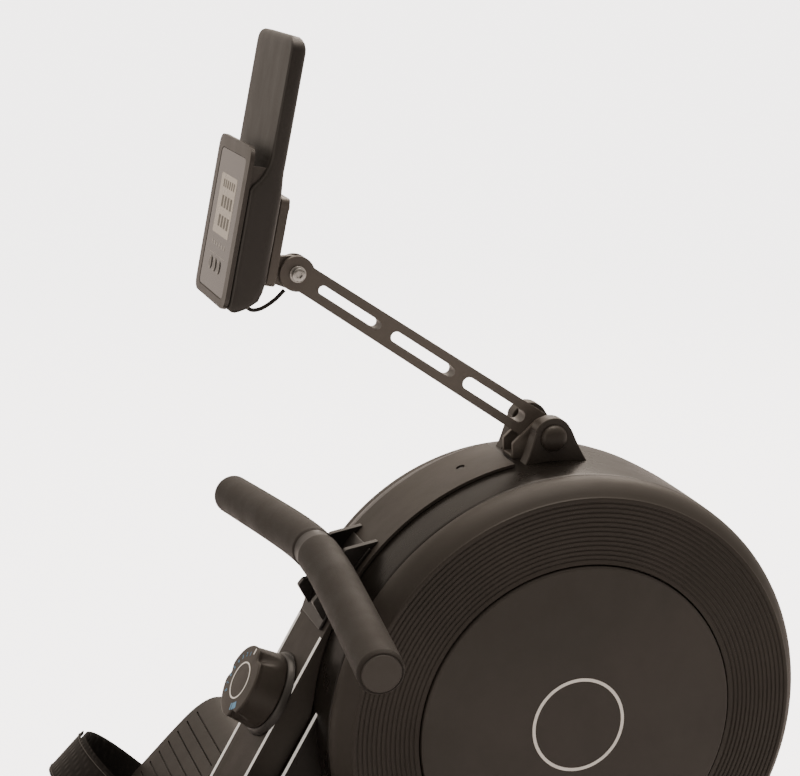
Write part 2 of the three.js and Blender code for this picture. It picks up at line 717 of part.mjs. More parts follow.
function rearLeg() {
  const x = -RAIL_LENGTH + 60;
  const post = plate([[x - 24, -RAIL_HALF_H - GAP], [x + 24, -RAIL_HALF_H - GAP],
    [x + 18, -125], [x - 18, -125]], -22, 22);
  const cross = rod(x, -136.5, 22, -STABILISER_HALF, STABILISER_HALF, 24);
  const bored = rod(x, -136.5, 19, -STABILISER_HALF - 1, STABILISER_HALF + 1, 24);
  return union(cut(cross, bored), cut(post, bored));
}

function rearFoot(side) {
  const x = -RAIL_LENGTH + 60;
  const y = (a, b) => span(side, a, b);
  const block = plate([[x - 30, -165], [x + 30, -165], [x + 33, -153], [x + 27, -119],
    [x + 14, -111], [x - 14, -111], [x - 27, -119], [x - 33, -153]], ...y(206, FOOT_HALF));
  return cut(block, rod(x, -136.5, 22.3, ...y(200, STABILISER_HALF + GAP), 24));
}

// Hand screw through the frame's cheek, whose tip clamps the side of the rail.
function clampKnob() {
  const screw = rod(0, 0, 6, -50, -RAIL_HALF_W - GAP, 16);
  const collar = rod(0, 0, 10, -48, -29.4 - GAP, 16);
  const head = rod(0, 0, 19, -66, -44, 24);
  const scoops = [0, 1, 2, 3, 4].map((i) => {
    const a = rad(72 * i + 90);
    return rod(23 * Math.cos(a), 23 * Math.sin(a), 8, -70, -40, 14);
  });
  return union(screw, collar, cut(head, ...scoops));
}

// ---------------------------------------------------------------- seat

function seatCarriage() {
  const deck = box(-75, 75, -60, 60, 61, 65);
  const cheeks = [RIGHT, LEFT].map((side) => {
    return plate([[-72, 62], [72, 62], [60, 6], [-60, 6]], ...span(side, 28.5, 32.5));
  });
  const holes = [-48, 48].map((x) => rod(x, 46.3, 4.3, -50, 50, 12));
  return cut(union(deck, ...cheeks), ...holes);
}

function seatRoller() {
  const shaft = [[0, -33], [4, -33], [4, -20], [11, -20], [11, -9], [5, -9], [5, 9],
    [11, 9], [11, 20], [4, 20], [4, 33], [0, 33]];
  return turned(shaft, 20);
}

function seatPad() {
  const outline = new THREE.Shape();
  const [halfX, halfY, corner] = [112, 152, 55];
  outline.moveTo(-halfX + corner, -halfY);
  outline.lineTo(halfX - corner, -halfY);
  outline.quadraticCurveTo(halfX, -halfY, halfX, -halfY + corner);
  outline.quadraticCurveTo(halfX - 18, 0, halfX, halfY - corner);
  outline.quadraticCurveTo(halfX, halfY, halfX - corner, halfY);
  outline.lineTo(-halfX + corner, halfY);
  outline.quadraticCurveTo(-halfX, halfY, -halfX, halfY - corner);
  outline.lineTo(-halfX, -halfY + corner);
  outline.quadraticCurveTo(-halfX, -halfY, -halfX + corner, -halfY);
  const geometry = new THREE.ExtrudeGeometry(outline, {
    depth: 44, bevelEnabled: false, curveSegments: 6,
  });
  geometry.translate(0, 0, 65 + GAP);
  return solid(geometry);
}

// ---------------------------------------------------------------- assembly

hub.add(
  named('base_beam', baseBeam(), MAT.blackSteel),
  named('axle_plate_right', axlePlate(RIGHT), MAT.blackSteel),
  named('axle_plate_left', axlePlate(LEFT), MAT.blackSteel),
  named('console_post', consolePost(), MAT.blackSteel),
  named('front_stabiliser', frontStabiliser(), MAT.blackSteel),
  named('front_cap_right', frontCap(RIGHT), MAT.rubber),
  named('front_cap_left', frontCap(LEFT), MAT.rubber),
  named('mid_support', midSupport(), MAT.blackSteel),
  named('shell_right', shell(RIGHT), MAT.blackPlastic),
  named('shell_left', shell(LEFT), MAT.blackPlastic),
  named('column_cover', columnCover(), MAT.coverPlastic),
  named('side_cover_right', sideCover(RIGHT), MAT.coverPlastic),
  named('side_cover_left', sideCover(LEFT), MAT.coverPlastic),
  named('side_disc_right', sideDisc(RIGHT), MAT.coverPlastic),
  named('side_disc_left', sideDisc(LEFT), MAT.coverPlastic),
  named('handle_cradle', handleCradle(), MAT.blackPlastic),
  named('flywheel', flywheel(), MAT.castIron),
  named('flywheel_axle', rod(0, 0, 8, -46, 46), MAT.steel),
  named('drum_axle', rod(...DRUM_AXLE, 7, -15.5, 40), MAT.steel),
  named('drive_belt', driveBelt(), MAT.belt),
  named('magnet_bracket', magnetBracket(), MAT.steel),
  named('pedal_axle', rod(...PEDAL_AXLE, 8, -157, 157), MAT.steel),
  named('fold_axle', rod(...FOLD_PIVOT, 7, -34, 34), MAT.steel),
);

const drum = named('strap_drum', strapDrum(), MAT.blackPlastic);
drum.position.set(DRUM_AXLE[0], 0, DRUM_AXLE[1]);
hub.add(drum);

for (const [side, name] of [[RIGHT, 'right'], [LEFT, 'left']]) {
  const wheel = named(`transport_wheel_${name}`, transportWheel(side), MAT.rubber);
  wheel.position.set(STABILISER_X + 50, 0, -297);
  const cap = named(`pivot_cap_${name}`, pivotCap(side), MAT.blackPlastic);
  cap.position.set(ARM_PIVOT[0], 0, ARM_PIVOT[1]);
  hub.add(wheel, cap);
}

const knob = new THREE.Group();
const [knobX, knobZ] = onFace(BAND_R, 99);
knob.position.set(knobX, 0, knobZ);
knob.quaternion.setFromUnitVectors(new THREE.Vector3(0, 1, 0),
  new THREE.Vector3(faceNormal[0], 0, faceNormal[1]));
knob.add(
  named('knob_base', knobBase(), MAT.blackPlastic),
  named('tension_knob', tensionKnob(), MAT.coverPlastic),
);
hub.add(knob);

const arm = new THREE.Group();
arm.position.set(ARM_PIVOT[0], 0, ARM_PIVOT[1]);
arm.rotation.y = rad(ARM_ANGLE);
arm.add(
  named('console_arm', consoleArm(), MAT.blackSteel),
  named('arm_pin', armPin(), MAT.steel),
);
hub.add(arm);

const consoleUnit = new THREE.Group();
consoleUnit.position.set(
  ARM_PIVOT[0] - ARM_LENGTH * Math.cos(rad(ARM_ANGLE)), 0,
  ARM_PIVOT[1] + ARM_LENGTH * Math.sin(rad(ARM_ANGLE)));
consoleUnit.rotation.y = rad(CONSOLE_TILT);
consoleUnit.add(
  named('console_bracket', consoleBracket(), MAT.blackSteel),
  named('console_housing', consoleHousing(), MAT.blackPlastic),
  named('console_bezel', consoleBezel(), MAT.glossPlastic),
  named('console_glass', consoleGlass(), MAT.glass),
  named('console_cable', consoleCable(), MAT.rubber),
  named('tilt_bolt', tiltBolt(), MAT.steel),
);
const buttonNames = ['console_button_left', 'console_button_mid', 'console_button_right'];
buttonPlaces().forEach(([y, z], i) => {
  consoleUnit.add(named(buttonNames[i], consoleButton(y, z), MAT.glossPlastic));
});
hub.add(consoleUnit);

hub.add(
  named('handle_tube', handleTube(), MAT.steel),
  named('handle_sleeve', handleSleeve(), MAT.glossPlastic),
  named('grip_right', grip(HANDLE_SHIFT - HANDLE_HALF, 9), MAT.softGrip),
  named('grip_left', grip(21, HANDLE_SHIFT + HANDLE_HALF), MAT.softGrip),
  named('pull_strap', pullStrap(), MAT.webbing),
);

for (const [side, name] of [[RIGHT, 'right'], [LEFT, 'left']]) {
  const foot = new THREE.Group();
  foot.position.set(PEDAL_AXLE[0], 0, PEDAL_AXLE[1]);
  foot.rotation.y = -rad(PEDAL_ANGLE);
  foot.add(
    named(`pedal_${name}`, pedal(side), MAT.coverPlastic),
    named(`foot_strap_${name}`, footStrap(side), MAT.webbing),
  );
  hub.add(foot);
}

const railGroup = new THREE.Group();
railGroup.position.set(FOLD_PIVOT[0], 0, FOLD_PIVOT[1]);
railGroup.add(
  named('rail', rail(), MAT.aluminium),
  named('rail_end_cap', railEndCap(), MAT.blackPlastic),
  named('rear_leg', rearLeg(), MAT.blackSteel),
  named('rear_foot_right', rearFoot(RIGHT), MAT.rubber),
  named('rear_foot_left', rearFoot(LEFT), MAT.rubber),
);
hub.add(railGroup);

const clamp = named('fold_clamp_knob', clampKnob(), MAT.blackPlastic);
clamp.position.set(...CLAMP_AT);
hub.add(clamp);

const seat = new THREE.Group();
seat.position.set(SEAT_X, 0, 0);
seat.add(
  named('seat_carriage', seatCarriage(), MAT.blackSteel),
  named('seat_pad', seatPad(), MAT.leather),
);
for (const [x, name] of [[48, 'front'], [-48, 'rear']]) {
  const roller = named(`seat_roller_${name}`, seatRoller(), MAT.blackPlastic);
  roller.position.set(x, 0, RAIL_HALF_H + 11 + GAP);
  seat.add(roller);
}
railGroup.add(seat);

export default machine;
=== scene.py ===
"""Looks of the folding rowing machine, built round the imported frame.

Shapes are written in millimetres in the frame of their own group and placed in metres.
The main group has its origin on the flywheel axis: x forward, y to the left, z up.
"""

import math

import bmesh
import bpy
from mathutils import Matrix, Vector
from mathutils.geometry import tessellate_polygon


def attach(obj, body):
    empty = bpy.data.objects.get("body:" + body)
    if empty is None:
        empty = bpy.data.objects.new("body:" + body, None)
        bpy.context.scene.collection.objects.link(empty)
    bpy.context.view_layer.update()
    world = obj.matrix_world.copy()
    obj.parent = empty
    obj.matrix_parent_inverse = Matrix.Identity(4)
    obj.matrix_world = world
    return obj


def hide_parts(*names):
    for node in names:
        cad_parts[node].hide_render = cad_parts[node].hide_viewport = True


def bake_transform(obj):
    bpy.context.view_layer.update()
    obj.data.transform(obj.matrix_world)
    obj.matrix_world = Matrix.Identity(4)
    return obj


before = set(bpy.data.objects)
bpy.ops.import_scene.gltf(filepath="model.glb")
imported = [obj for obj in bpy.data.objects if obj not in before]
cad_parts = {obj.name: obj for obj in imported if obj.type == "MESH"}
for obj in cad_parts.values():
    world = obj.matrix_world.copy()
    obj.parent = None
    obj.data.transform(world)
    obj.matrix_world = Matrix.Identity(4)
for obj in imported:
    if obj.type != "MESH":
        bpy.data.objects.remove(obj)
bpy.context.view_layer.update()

MM = 0.001
RIGHT, LEFT = -1, 1
SIDES = ((RIGHT, "right"), (LEFT, "left"))
HUB = Vector((0.701, 0.0, 0.330))

# Housing: radii from the flywheel axis, half widths from the middle plane
HOUSING_R = 203
SIDE_DISC_R = 138               # beyond this the left side cover is squeezed
LEFT_SHOULDER_R = 190
RIGHT_SHOULDER_R = 202
LEFT_SQUEEZE = (LEFT_SHOULDER_R - SIDE_DISC_R) / (RIGHT_SHOULDER_R - SIDE_DISC_R)
BAND_R = 206
BAND_HALF = 33
BAND_TOP, BAND_FOOT = 99, 150   # degrees
SCREW_ANGLE = 109
COLUMN_SLOPE = 60
COLUMN_BACK = 181.5
COLUMN_HALF = 43
COLUMN_FOOT = -136
KNOB_ALONG = 99                 # the tension knob's place down the column's face

# Console arm and console
ARM_PIVOT = (1, 222)
ARM_LENGTH = 250
ARM_ANGLE = 34.8
CONSOLE_TILT = 11.5

# Handle, pedals, rail and seat
HANDLE_CHORD = (-201, 114)
HANDLE_HALF = 224.5
HANDLE_SHIFT = 15
HANDLE_BOW = 21.9
PEDAL_AXLE = (-325, -169)
PEDAL_ANGLE = 45
FOLD_PIVOT = (-530, -165)
SEAT_X = -470

# Studio
WARM = (1.0, 0.87, 0.75)
BACKDROP = 4.6                  # brightness of the backdrop as the camera sees it


# ------------------------------------------------------------------ camera, light and floor

def place_camera():
    azimuth, elevation = math.radians(-18.2132), math.radians(14.3799)
    back = Vector((math.sin(azimuth) * math.cos(elevation),
                   -math.cos(azimuth) * math.cos(elevation), math.sin(elevation)))
    right = Vector((math.cos(azimuth), math.sin(azimuth), 0))
    up = back.cross(right)
    data = bpy.data.cameras.new("camera")
    data.lens, data.sensor_width = 91.03, 36
    data.clip_end = 100
    camera = bpy.data.objects.new("camera", data)
    turn = Matrix((right, up, back)).transposed().to_4x4()
    camera.matrix_world = Matrix.Translation((0.0927, -1.4878, 0.9970)) @ turn
    bpy.context.scene.collection.objects.link(camera)
    bpy.context.scene.camera = camera


def softbox(name, place, target, size, power, colour=(1, 1, 1)):
    data = bpy.data.lights.new(name, "AREA")
    data.shape, data.size, data.size_y = "RECTANGLE", *size
    data.energy, data.color = power, colour
    lamp = bpy.data.objects.new(name, data)
    aim = Vector(target) - Vector(place)
    turn = aim.to_track_quat("-Z", "Y").to_matrix().to_4x4()
    lamp.matrix_world = Matrix.Translation(place) @ turn
    bpy.context.scene.collection.objects.link(lamp)


def studio():
    world = bpy.data.worlds.new("studio")
    world.use_nodes = True
    tree = world.node_tree
    sky = tree.nodes["Background"]
    # The studio is bright above and behind the machine and dark on the camera's side.
    direction = add_node(tree, "ShaderNodeTexCoord")
    towards = add_node(tree, "ShaderNodeVectorMath", operation="DOT_PRODUCT")
    wire(tree, direction.outputs["Generated"], towards, 0)
    put(towards, {1: (0.1, 0.45, 0.88)})
    seen = add_node(tree, "ShaderNodeMix", data_type="FLOAT")
    put(seen, {3: BACKDROP})
    wire(tree, remap(tree, towards.outputs["Value"], 0.10, 1.35, -0.15, 0.9), seen, 2)
    straight = add_node(tree, "ShaderNodeLightPath").outputs["Is Camera Ray"]
    wire(tree, straight, seen, 0)
    tint = mix_colour(tree, straight, WARM, (0.945, 0.93, 0.935))
    wire(tree, tint, sky, "Color")
    wire(tree, seen.outputs[0], sky, "Strength")
    bpy.context.scene.world = world
    softbox("top_box", (0.9, 0.35, 2.7), (0.6, 0, 0.4), (2.0, 1.4), 46, WARM)
    softbox("left_box", (-1.9, -1.2, 0.9), (0.5, 0, 0.3), (0.8, 1.2), 9, WARM)
    softbox("back_box", (1.8, 1.7, 2.0), (0.7, 0, 0.4), (1.4, 1.2), 30, WARM)
    mesh = bpy.data.meshes.new("floor")
    half = 30
    mesh.from_pydata([(-half, -half, -0.0005), (half, -half, -0.0005), (half, half, -0.0005),
                      (-half, half, -0.0005)], [], [(0, 1, 2, 3)])
    floor = bpy.data.objects.new("floor", mesh)
    paper = bpy.data.materials.new("paper")
    paper.use_nodes = True
    shader = paper.node_tree.nodes["Principled BSDF"]
    put(shader, {"Base Color": (0.80, 0.775, 0.785, 1), "Roughness": 0.9,
                 "Emission Color": (0.945, 0.93, 0.935, 1)})
    glow = add_node(paper.node_tree, "ShaderNodeMath", operation="MULTIPLY")
    put(glow, {1: BACKDROP * 0.85})
    paper.node_tree.links.new(
        add_node(paper.node_tree, "ShaderNodeLightPath").outputs["Is Camera Ray"],
        glow.inputs[0])
    paper.node_tree.links.new(glow.outputs[0], shader.inputs["Emission Strength"])
    mesh.materials.append(paper)
    bpy.context.scene.collection.objects.link(floor)


# ------------------------------------------------------------------ materials

def new_material(name):
    mat = bpy.data.materials.new(name)
    mat.use_nodes = True
    tree = mat.node_tree
    return mat, tree, tree.nodes["Principled BSDF"]


def add_node(tree, kind, **values):
    node = tree.nodes.new(kind)
    for key, value in values.items():
        setattr(node, key, value)
    return node


def put(node, values):
    """Sets a node's inputs, by name or by number."""
    for key, value in values.items():
        node.inputs[key].default_value = value


def wire(tree, output, node, key):
    tree.links.new(output, node.inputs[key])


def shade(colour, factor):
    return tuple(c * factor for c in colour)


def coords(tree, stretch=(1, 1, 1)):
    source = add_node(tree, "ShaderNodeTexCoord")
    mapping = add_node(tree, "ShaderNodeMapping")
    put(mapping, {"Scale": stretch})
    wire(tree, source.outputs["Object"], mapping, "Vector")
    return mapping.outputs["Vector"]


def noise(tree, vector, scale, detail=3.0, rough=0.55):
    node = add_node(tree, "ShaderNodeTexNoise")
    put(node, {"Scale": scale, "Detail": detail, "Roughness": rough})
    wire(tree, vector, node, "Vector")
    return node.outputs["Fac"]


def remap(tree, value, low, high, start=0.3, end=0.7):
    node = add_node(tree, "ShaderNodeMapRange")
    for key, number in (("From Min", start), ("From Max", end), ("To Min", low), ("To Max", high)):
        node.inputs[key].default_value = number
    wire(tree, value, node, "Value")
    return node.outputs["Result"]


def mix_colour(tree, factor, first, second):
    node = add_node(tree, "ShaderNodeMix", data_type="RGBA")
    wire(tree, factor, node, "Factor")
    for socket, colour in zip((node.inputs[6], node.inputs[7]), (first, second)):
        if isinstance(colour, tuple):
            socket.default_value = (*colour, 1)
        else:
            tree.links.new(colour, socket)
    return node.outputs[2]


def bump(tree, shader, height, distance):
    node = add_node(tree, "ShaderNodeBump")
    put(node, {"Strength": 1.0, "Distance": distance})
    wire(tree, height, node, "Height")
    wire(tree, node.outputs["Normal"], shader, "Normal")


def moulded(name, colour, rough=0.45, grain=1400, depth=0.00006, spread=0.12, coat=0.0,
            metallic=0.0, specular=0.5, wear=0.12):
    """Moulded plastic, paint or rubber: fine grain, faint mottling and handling marks."""
    mat, tree, shader = new_material(name)
    vector = coords(tree)
    cloud = noise(tree, vector, 9, 4)
    light = tuple(min(1, c * (1 + wear) + 0.002) for c in colour)
    dark = tuple(c * (1 - wear) for c in colour)
    tint = mix_colour(tree, remap(tree, cloud, 0, 1), dark, light)
    fleck = remap(tree, noise(tree, vector, grain * 0.6, 2), 0, 0.25, 0.62, 0.8)
    tint = mix_colour(tree, fleck, tint, tuple(min(1, c * 1.5 + 0.01) for c in colour))
    wire(tree, tint, shader, "Base Color")
    smudge = noise(tree, coords(tree, (1, 1.6, 0.7)), 22, 5, 0.6)
    tree.links.new(remap(tree, smudge, rough - spread / 2, rough + spread / 2),
                   shader.inputs["Roughness"])
    put(shader, {"Metallic": metallic, "Specular IOR Level": specular, "Coat Weight": coat,
                 "Coat Roughness": 0.12})
    bump(tree, shader, noise(tree, vector, grain, 2, 0.6), depth)
    return mat


def metal(name, colour, rough=0.3, along=(1, 1, 1), lines=900, depth=0.00002):
    """Brushed or machined metal: streaks drawn out along one axis."""
    mat, tree, shader = new_material(name)
    streak = noise(tree, coords(tree, along), lines, 3, 0.6)
    cloud = noise(tree, coords(tree), 14, 4)
    tint = mix_colour(tree, remap(tree, streak, 0, 1), shade(colour, 0.82), colour)
    tint = mix_colour(tree, remap(tree, cloud, 0, 0.25), tint, shade(colour, 0.7))
    wire(tree, tint, shader, "Base Color")
    wire(tree, remap(tree, streak, rough - 0.08, rough + 0.1), shader, "Roughness")
    put(shader, {"Metallic": 1})
    bump(tree, shader, streak, depth)
    return mat


def foam(name, colour):
    """Closed-cell foam of the grips: pores, soft sheen, slightly worn."""
    mat, tree, shader = new_material(name)
    vector = coords(tree)
    cells = add_node(tree, "ShaderNodeTexVoronoi")
    put(cells, {"Scale": 1500})
    wire(tree, vector, cells, "Vector")
    cloud = noise(tree, vector, 30, 5, 0.6)
    tint = mix_colour(tree, remap(tree, cloud, 0, 1), shade(colour, 0.86),
                      shade(colour, 1.16))
    pore = remap(tree, cells.outputs["Distance"], 0.5, 0, 0.05, 0.35)
    tint = mix_colour(tree, pore, tint, shade(colour, 0.6))
    wire(tree, tint, shader, "Base Color")
    wire(tree, remap(tree, cloud, 0.55, 0.72), shader, "Roughness")
    put(shader, {"Specular IOR Level": 0.22, "Sheen Weight": 0.04, "Sheen Roughness": 0.4})
    bump(tree, shader, cells.outputs["Distance"], 0.00012)
    return mat


def webbing(name, colour, turn):
    """Woven strap: ribs across the strap and finer threads along it."""
    mat, tree, shader = new_material(name)
    vector = coords(tree)
    mapping = add_node(tree, "ShaderNodeMapping")
    put(mapping, {"Rotation": (0, 0, turn)})
    wire(tree, vector, mapping, "Vector")
    waves = []
    for direction, scale in (("X", 45), ("Y", 63)):
        wave = add_node(tree, "ShaderNodeTexWave", bands_direction=direction)
        put(wave, {"Scale": scale, "Distortion": 1.2})
        wire(tree, mapping.outputs["Vector"], wave, "Vector")
        waves.append(wave.outputs["Fac"])
    weave = add_node(tree, "ShaderNodeMath", operation="MULTIPLY")
    wire(tree, waves[0], weave, 0)
    wire(tree, waves[1], weave, 1)
    fuzz = noise(tree, vector, 260, 4, 0.7)
    tint = mix_colour(tree, weave.outputs[0], shade(colour, 0.55), colour)
    tint = mix_colour(tree, remap(tree, fuzz, 0, 0.35), tint, shade(colour, 1.7))
    wire(tree, tint, shader, "Base Color")
    put(shader, {"Roughness": 0.85, "Specular IOR Level": 0.2, "Sheen Weight": 0.06})
    bump(tree, shader, weave.outputs[0], 0.0004)
    return mat


def leather(name, colour):
    """Grained synthetic leather of the seat."""
    mat, tree, shader = new_material(name)
    vector = coords(tree)
    cells = add_node(tree, "ShaderNodeTexVoronoi", feature="DISTANCE_TO_EDGE")
    put(cells, {"Scale": 420})
    wire(tree, vector, cells, "Vector")
    grain = remap(tree, cells.outputs["Distance"], 0, 1, 0.0, 0.16)
    cloud = noise(tree, vector, 12, 4)
    tint = mix_colour(tree, remap(tree, cloud, 0, 1), shade(colour, 0.85), colour)
    tint = mix_colour(tree, grain, shade(colour, 0.5), tint)
    wire(tree, tint, shader, "Base Color")
    wire(tree, remap(tree, cloud, 0.42, 0.58), shader, "Roughness")
    bump(tree, shader, grain, 0.00016)
    return mat


def plain(name, colour, rough, coat=0.0, glow=0.0):
    """Small printed details and painted highlight strips, with a trace of unevenness."""
    mat, tree, shader = new_material(name)
    cloud = noise(tree, coords(tree), 160, 3)
    tint = mix_colour(tree, remap(tree, cloud, 0, 1), shade(colour, 0.93), colour)
    wire(tree, tint, shader, "Base Color")
    wire(tree, remap(tree, cloud, rough * 0.85, rough * 1.15), shader, "Roughness")
    put(shader, {"Coat Weight": coat, "Coat Roughness": 0.06})
    # Glow: emission that makes a painted highlight shine, though the part is no lamp.
    if glow:
        put(shader, {"Emission Color": (*colour, 1), "Emission Strength": glow})
    return mat


MAT = {
    "shell": moulded("shell_plastic", (0.009, 0.0078, 0.0066), 0.3, depth=0.00003,
                     specular=0.16),
    "cover": moulded("cover_plastic", (0.031, 0.0272, 0.0235), 0.5, specular=0.26),
    "disc": moulded("disc_plastic", (0.026, 0.0226, 0.0194), 0.52, specular=0.45, grain=1900,
                    depth=0.00005),
    "dark": moulded("dark_plastic", (0.010, 0.0088, 0.0078), 0.36, depth=0.00004),
    "console": moulded("console_plastic", (0.017, 0.015, 0.0133), 0.44, grain=2200),
    "gloss": moulded("gloss_plastic", (0.016, 0.0145, 0.013), 0.16, spread=0.05, depth=0.00001,
                     coat=0.4, wear=0.05),
    "bezel": moulded("bezel_plastic", (0.036, 0.032, 0.0285), 0.34, grain=2400, depth=0.00002),
    "knob": moulded("knob_plastic", (0.034, 0.0296, 0.0254), 0.42, depth=0.00004,
                    specular=0.3),
    "pedal": moulded("pedal_plastic", (0.023, 0.0202, 0.0176), 0.56, depth=0.00008,
                     specular=0.35),
    "paint": moulded("frame_paint", (0.09, 0.08, 0.07), 0.42, grain=900, depth=0.00008,
                     metallic=0.1, coat=0.15),
    "rubber": moulded("black_rubber", (0.02, 0.0185, 0.0175), 0.75, grain=1000, depth=0.0001,
                      specular=0.3),
    "belt": moulded("belt_rubber", (0.014, 0.014, 0.014), 0.7, grain=700, specular=0.3),
    "grip": foam("grip_foam", (0.018, 0.0154, 0.0132)),
    "cap": moulded("grip_cap", (0.032, 0.028, 0.0245), 0.5),
    "steel": metal("bright_steel", (0.55, 0.55, 0.54), 0.28, (1, 12, 1)),
    "iron": metal("flywheel_iron", (0.24, 0.235, 0.23), 0.42),
    "rail": metal("rail_aluminium", (0.62, 0.62, 0.62), 0.34, (0.03, 1, 1), 1300),
    "strap": webbing("strap_webbing", (0.012, 0.0106, 0.0094), 0),
    "pull": webbing("pull_webbing", (0.026, 0.024, 0.022), math.pi / 2),
    "seat": leather("seat_cover", (0.032, 0.029, 0.027)),
    "white": plain("white_print", (0.86, 0.86, 0.84), 0.35),
    # Painted highlight: near-white strips with a faint glow, laid where light catches the column's
    # edge bevels.
    "highlight_paint": plain("painted_highlight_strip", (0.9, 0.9, 0.88), 0.3, glow=0.25),
    "blue": plain("blue_print", (0.12, 0.3, 0.5), 0.5),
    "grey": plain("grey_print", (0.36, 0.35, 0.33), 0.5),
    "red": plain("red_cord", (0.62, 0.02, 0.02), 0.6),
    "glass": plain("screen_glass", (0.022, 0.021, 0.021), 0.1, coat=0.6),
    "lcd": plain("lcd_panel", (0.5, 0.47, 0.41), 0.3, coat=0.3),
    "segment": plain("lcd_segment", (0.1, 0.095, 0.08), 0.4),
    "thread": plain("seam_thread", (0.05, 0.047, 0.044), 0.8),
}


# ------------------------------------------------------------------ outlines

def arc(r, start, stop, steps, centre=(0, 0)):
    angles = [math.radians(start + (stop - start) * i / steps) for i in range(steps + 1)]
    return [(centre[0] + r * math.cos(a), centre[1] + r * math.sin(a)) for a in angles]


def rect(x0, z0, x1, z1):
    return [(x0, z0), (x1, z0), (x1, z1), (x0, z1)]


def rounded(points, radii, steps=5):
    """A closed outline with its corners rounded, always with the same number of points."""
    if not isinstance(radii, (list, tuple)):
        radii = [radii] * len(points)
    out = []
    for i, radius in enumerate(radii):
        before, corner, after = (Vector(points[j % len(points)]) for j in (i - 1, i, i + 1))
        inward, outward = (before - corner), (after - corner)
        angle = max(1e-3, inward.angle(outward))
        reach = radius / math.tan(angle / 2) if angle < math.pi - 0.02 else radius * 0.05
        reach = min(reach, inward.length * 0.48, outward.length * 0.48)
        start = corner + inward.normalized() * reach
        end = corner + outward.normalized() * reach
        for k in range(steps + 1):
            t = k / steps
            point = start * (1 - t) ** 2 + corner * 2 * t * (1 - t) + end * t ** 2
            out.append((point.x, point.y))
    return out


def on_face(distance, along):
    """A point a distance from the hub on the column's normal, and along its slope."""
    slope = math.radians(COLUMN_SLOPE)
    normal = (-math.sin(slope), math.cos(slope))
    down = (-math.cos(slope), -math.sin(slope))
    return tuple(distance * n + along * d for n, d in zip(normal, down))


def smooth_curve(points, steps=8):
    """Catmull-Rom curve through points of any dimension."""
    points = [Vector(p) for p in points]
    padded = [2 * points[0] - points[1], *points, 2 * points[-1] - points[-2]]
    out = []
    for a, b, c, d in zip(padded, padded[1:], padded[2:], padded[3:]):
        for k in range(steps):
            t = k / steps
            out.append(0.5 * (2 * b + (c - a) * t + (2 * a - 5 * b + 4 * c - d) * t ** 2
                              + (3 * b - a - 3 * c + d) * t ** 3))
    return [*out, points[-1]]


# ------------------------------------------------------------------ meshes

def prism(outline, low, high, holes=()):
    """An outline in x-z made solid from low to high on y."""
    loops = [list(outline), *map(list, holes)]
    flat = [p for loop in loops for p in loop]
    count = len(flat)
    verts = [(x, y, z) for y in (low, high) for x, z in flat]
    if holes:
        caps = [tuple(t) for t in tessellate_polygon([[(x, z, 0) for x, z in lp] for lp in loops])]
    else:
        caps = [tuple(range(count))]
    faces = caps + [tuple(i + count for i in reversed(c)) for c in caps]
    start = 0
    for loop in loops:
        n = len(loop)
        for i in range(n):
            a, b = start + i, start + (i + 1) % n
            faces.append((a, b, b + count, a + count))
        start += n
    return verts, faces


def upright(shape):
    """Turns a prism drawn in (y, z) with its depth on x from the x-z, y form."""
    verts, faces = shape
    return [(y, x, z) for x, y, z in verts], faces


def lathe(profile, segments=96, modulate=None):
    """Turned solid about y from (radius, y) points; a loop off the axis is closed."""
    closed = profile[0][0] > 0 or profile[-1][0] > 0
    verts, rings = [], []
    for r, y in profile:
        if r == 0:
            rings.append([len(verts)] * segments)
            verts.append((0, y, 0))
            continue
        rings.append(list(range(len(verts), len(verts) + segments)))
        for k in range(segments):
            a = 2 * math.pi * k / segments
            radius = modulate(r, y, a) if modulate else r
            verts.append((radius * math.cos(a), y, radius * math.sin(a)))
    pairs = list(zip(rings, rings[1:])) + ([(rings[-1], rings[0])] if closed else [])
    faces = []
    for first, second in pairs:
        for k in range(segments):
            n = (k + 1) % segments
            quad = [first[k], first[n], second[n], second[k]]
            unique = list(dict.fromkeys(quad))
            if len(unique) > 2:
                faces.append(tuple(unique))
    return verts, faces


def standing(shape):
    """Turns a lathed shape from the y axis onto the z axis."""
    verts, faces = shape
    return [(x, z, y) for x, y, z in verts], faces


def tube(path, radius, segments=24):
    """A round bar along a path; radius is a number or a function of the share travelled."""
    path = [Vector(p) for p in path]
    size = radius if callable(radius) else lambda t: radius
    tangents = [(path[min(i + 1, len(path) - 1)] - path[max(i - 1, 0)]).normalized()
                for i in range(len(path))]
    side = tangents[0].orthogonal().normalized()
    verts, faces = [], []
    for i, (point, tangent) in enumerate(zip(path, tangents)):
        side = (side - tangent * side.dot(tangent)).normalized()
        other = tangent.cross(side)
        r = size(i / (len(path) - 1))
        for k in range(segments):
            a = 2 * math.pi * k / segments
            verts.append(tuple(point + side * r * math.cos(a) + other * r * math.sin(a)))
    for i in range(len(path) - 1):
        for k in range(segments):
            a, b = i * segments + k, i * segments + (k + 1) % segments
            faces.append((a, b, b + segments, a + segments))
    last = (len(path) - 1) * segments
    faces += [tuple(reversed(range(segments))), tuple(range(last, last + segments))]
    return verts, faces


def loft(rings):
    """Rings of equal length joined in order, with both ends closed."""
    count = len(rings[0])
    verts = [tuple(p) for ring in rings for p in ring]
    faces = [tuple(reversed(range(count)))]
    for i in range(len(rings) - 1):
        for k in range(count):
            a, b = i * count + k, i * count + (k + 1) % count
            faces.append((a, b, b + count, a + count))
    last = (len(rings) - 1) * count
    faces.append(tuple(range(last, last + count)))
    return verts, faces


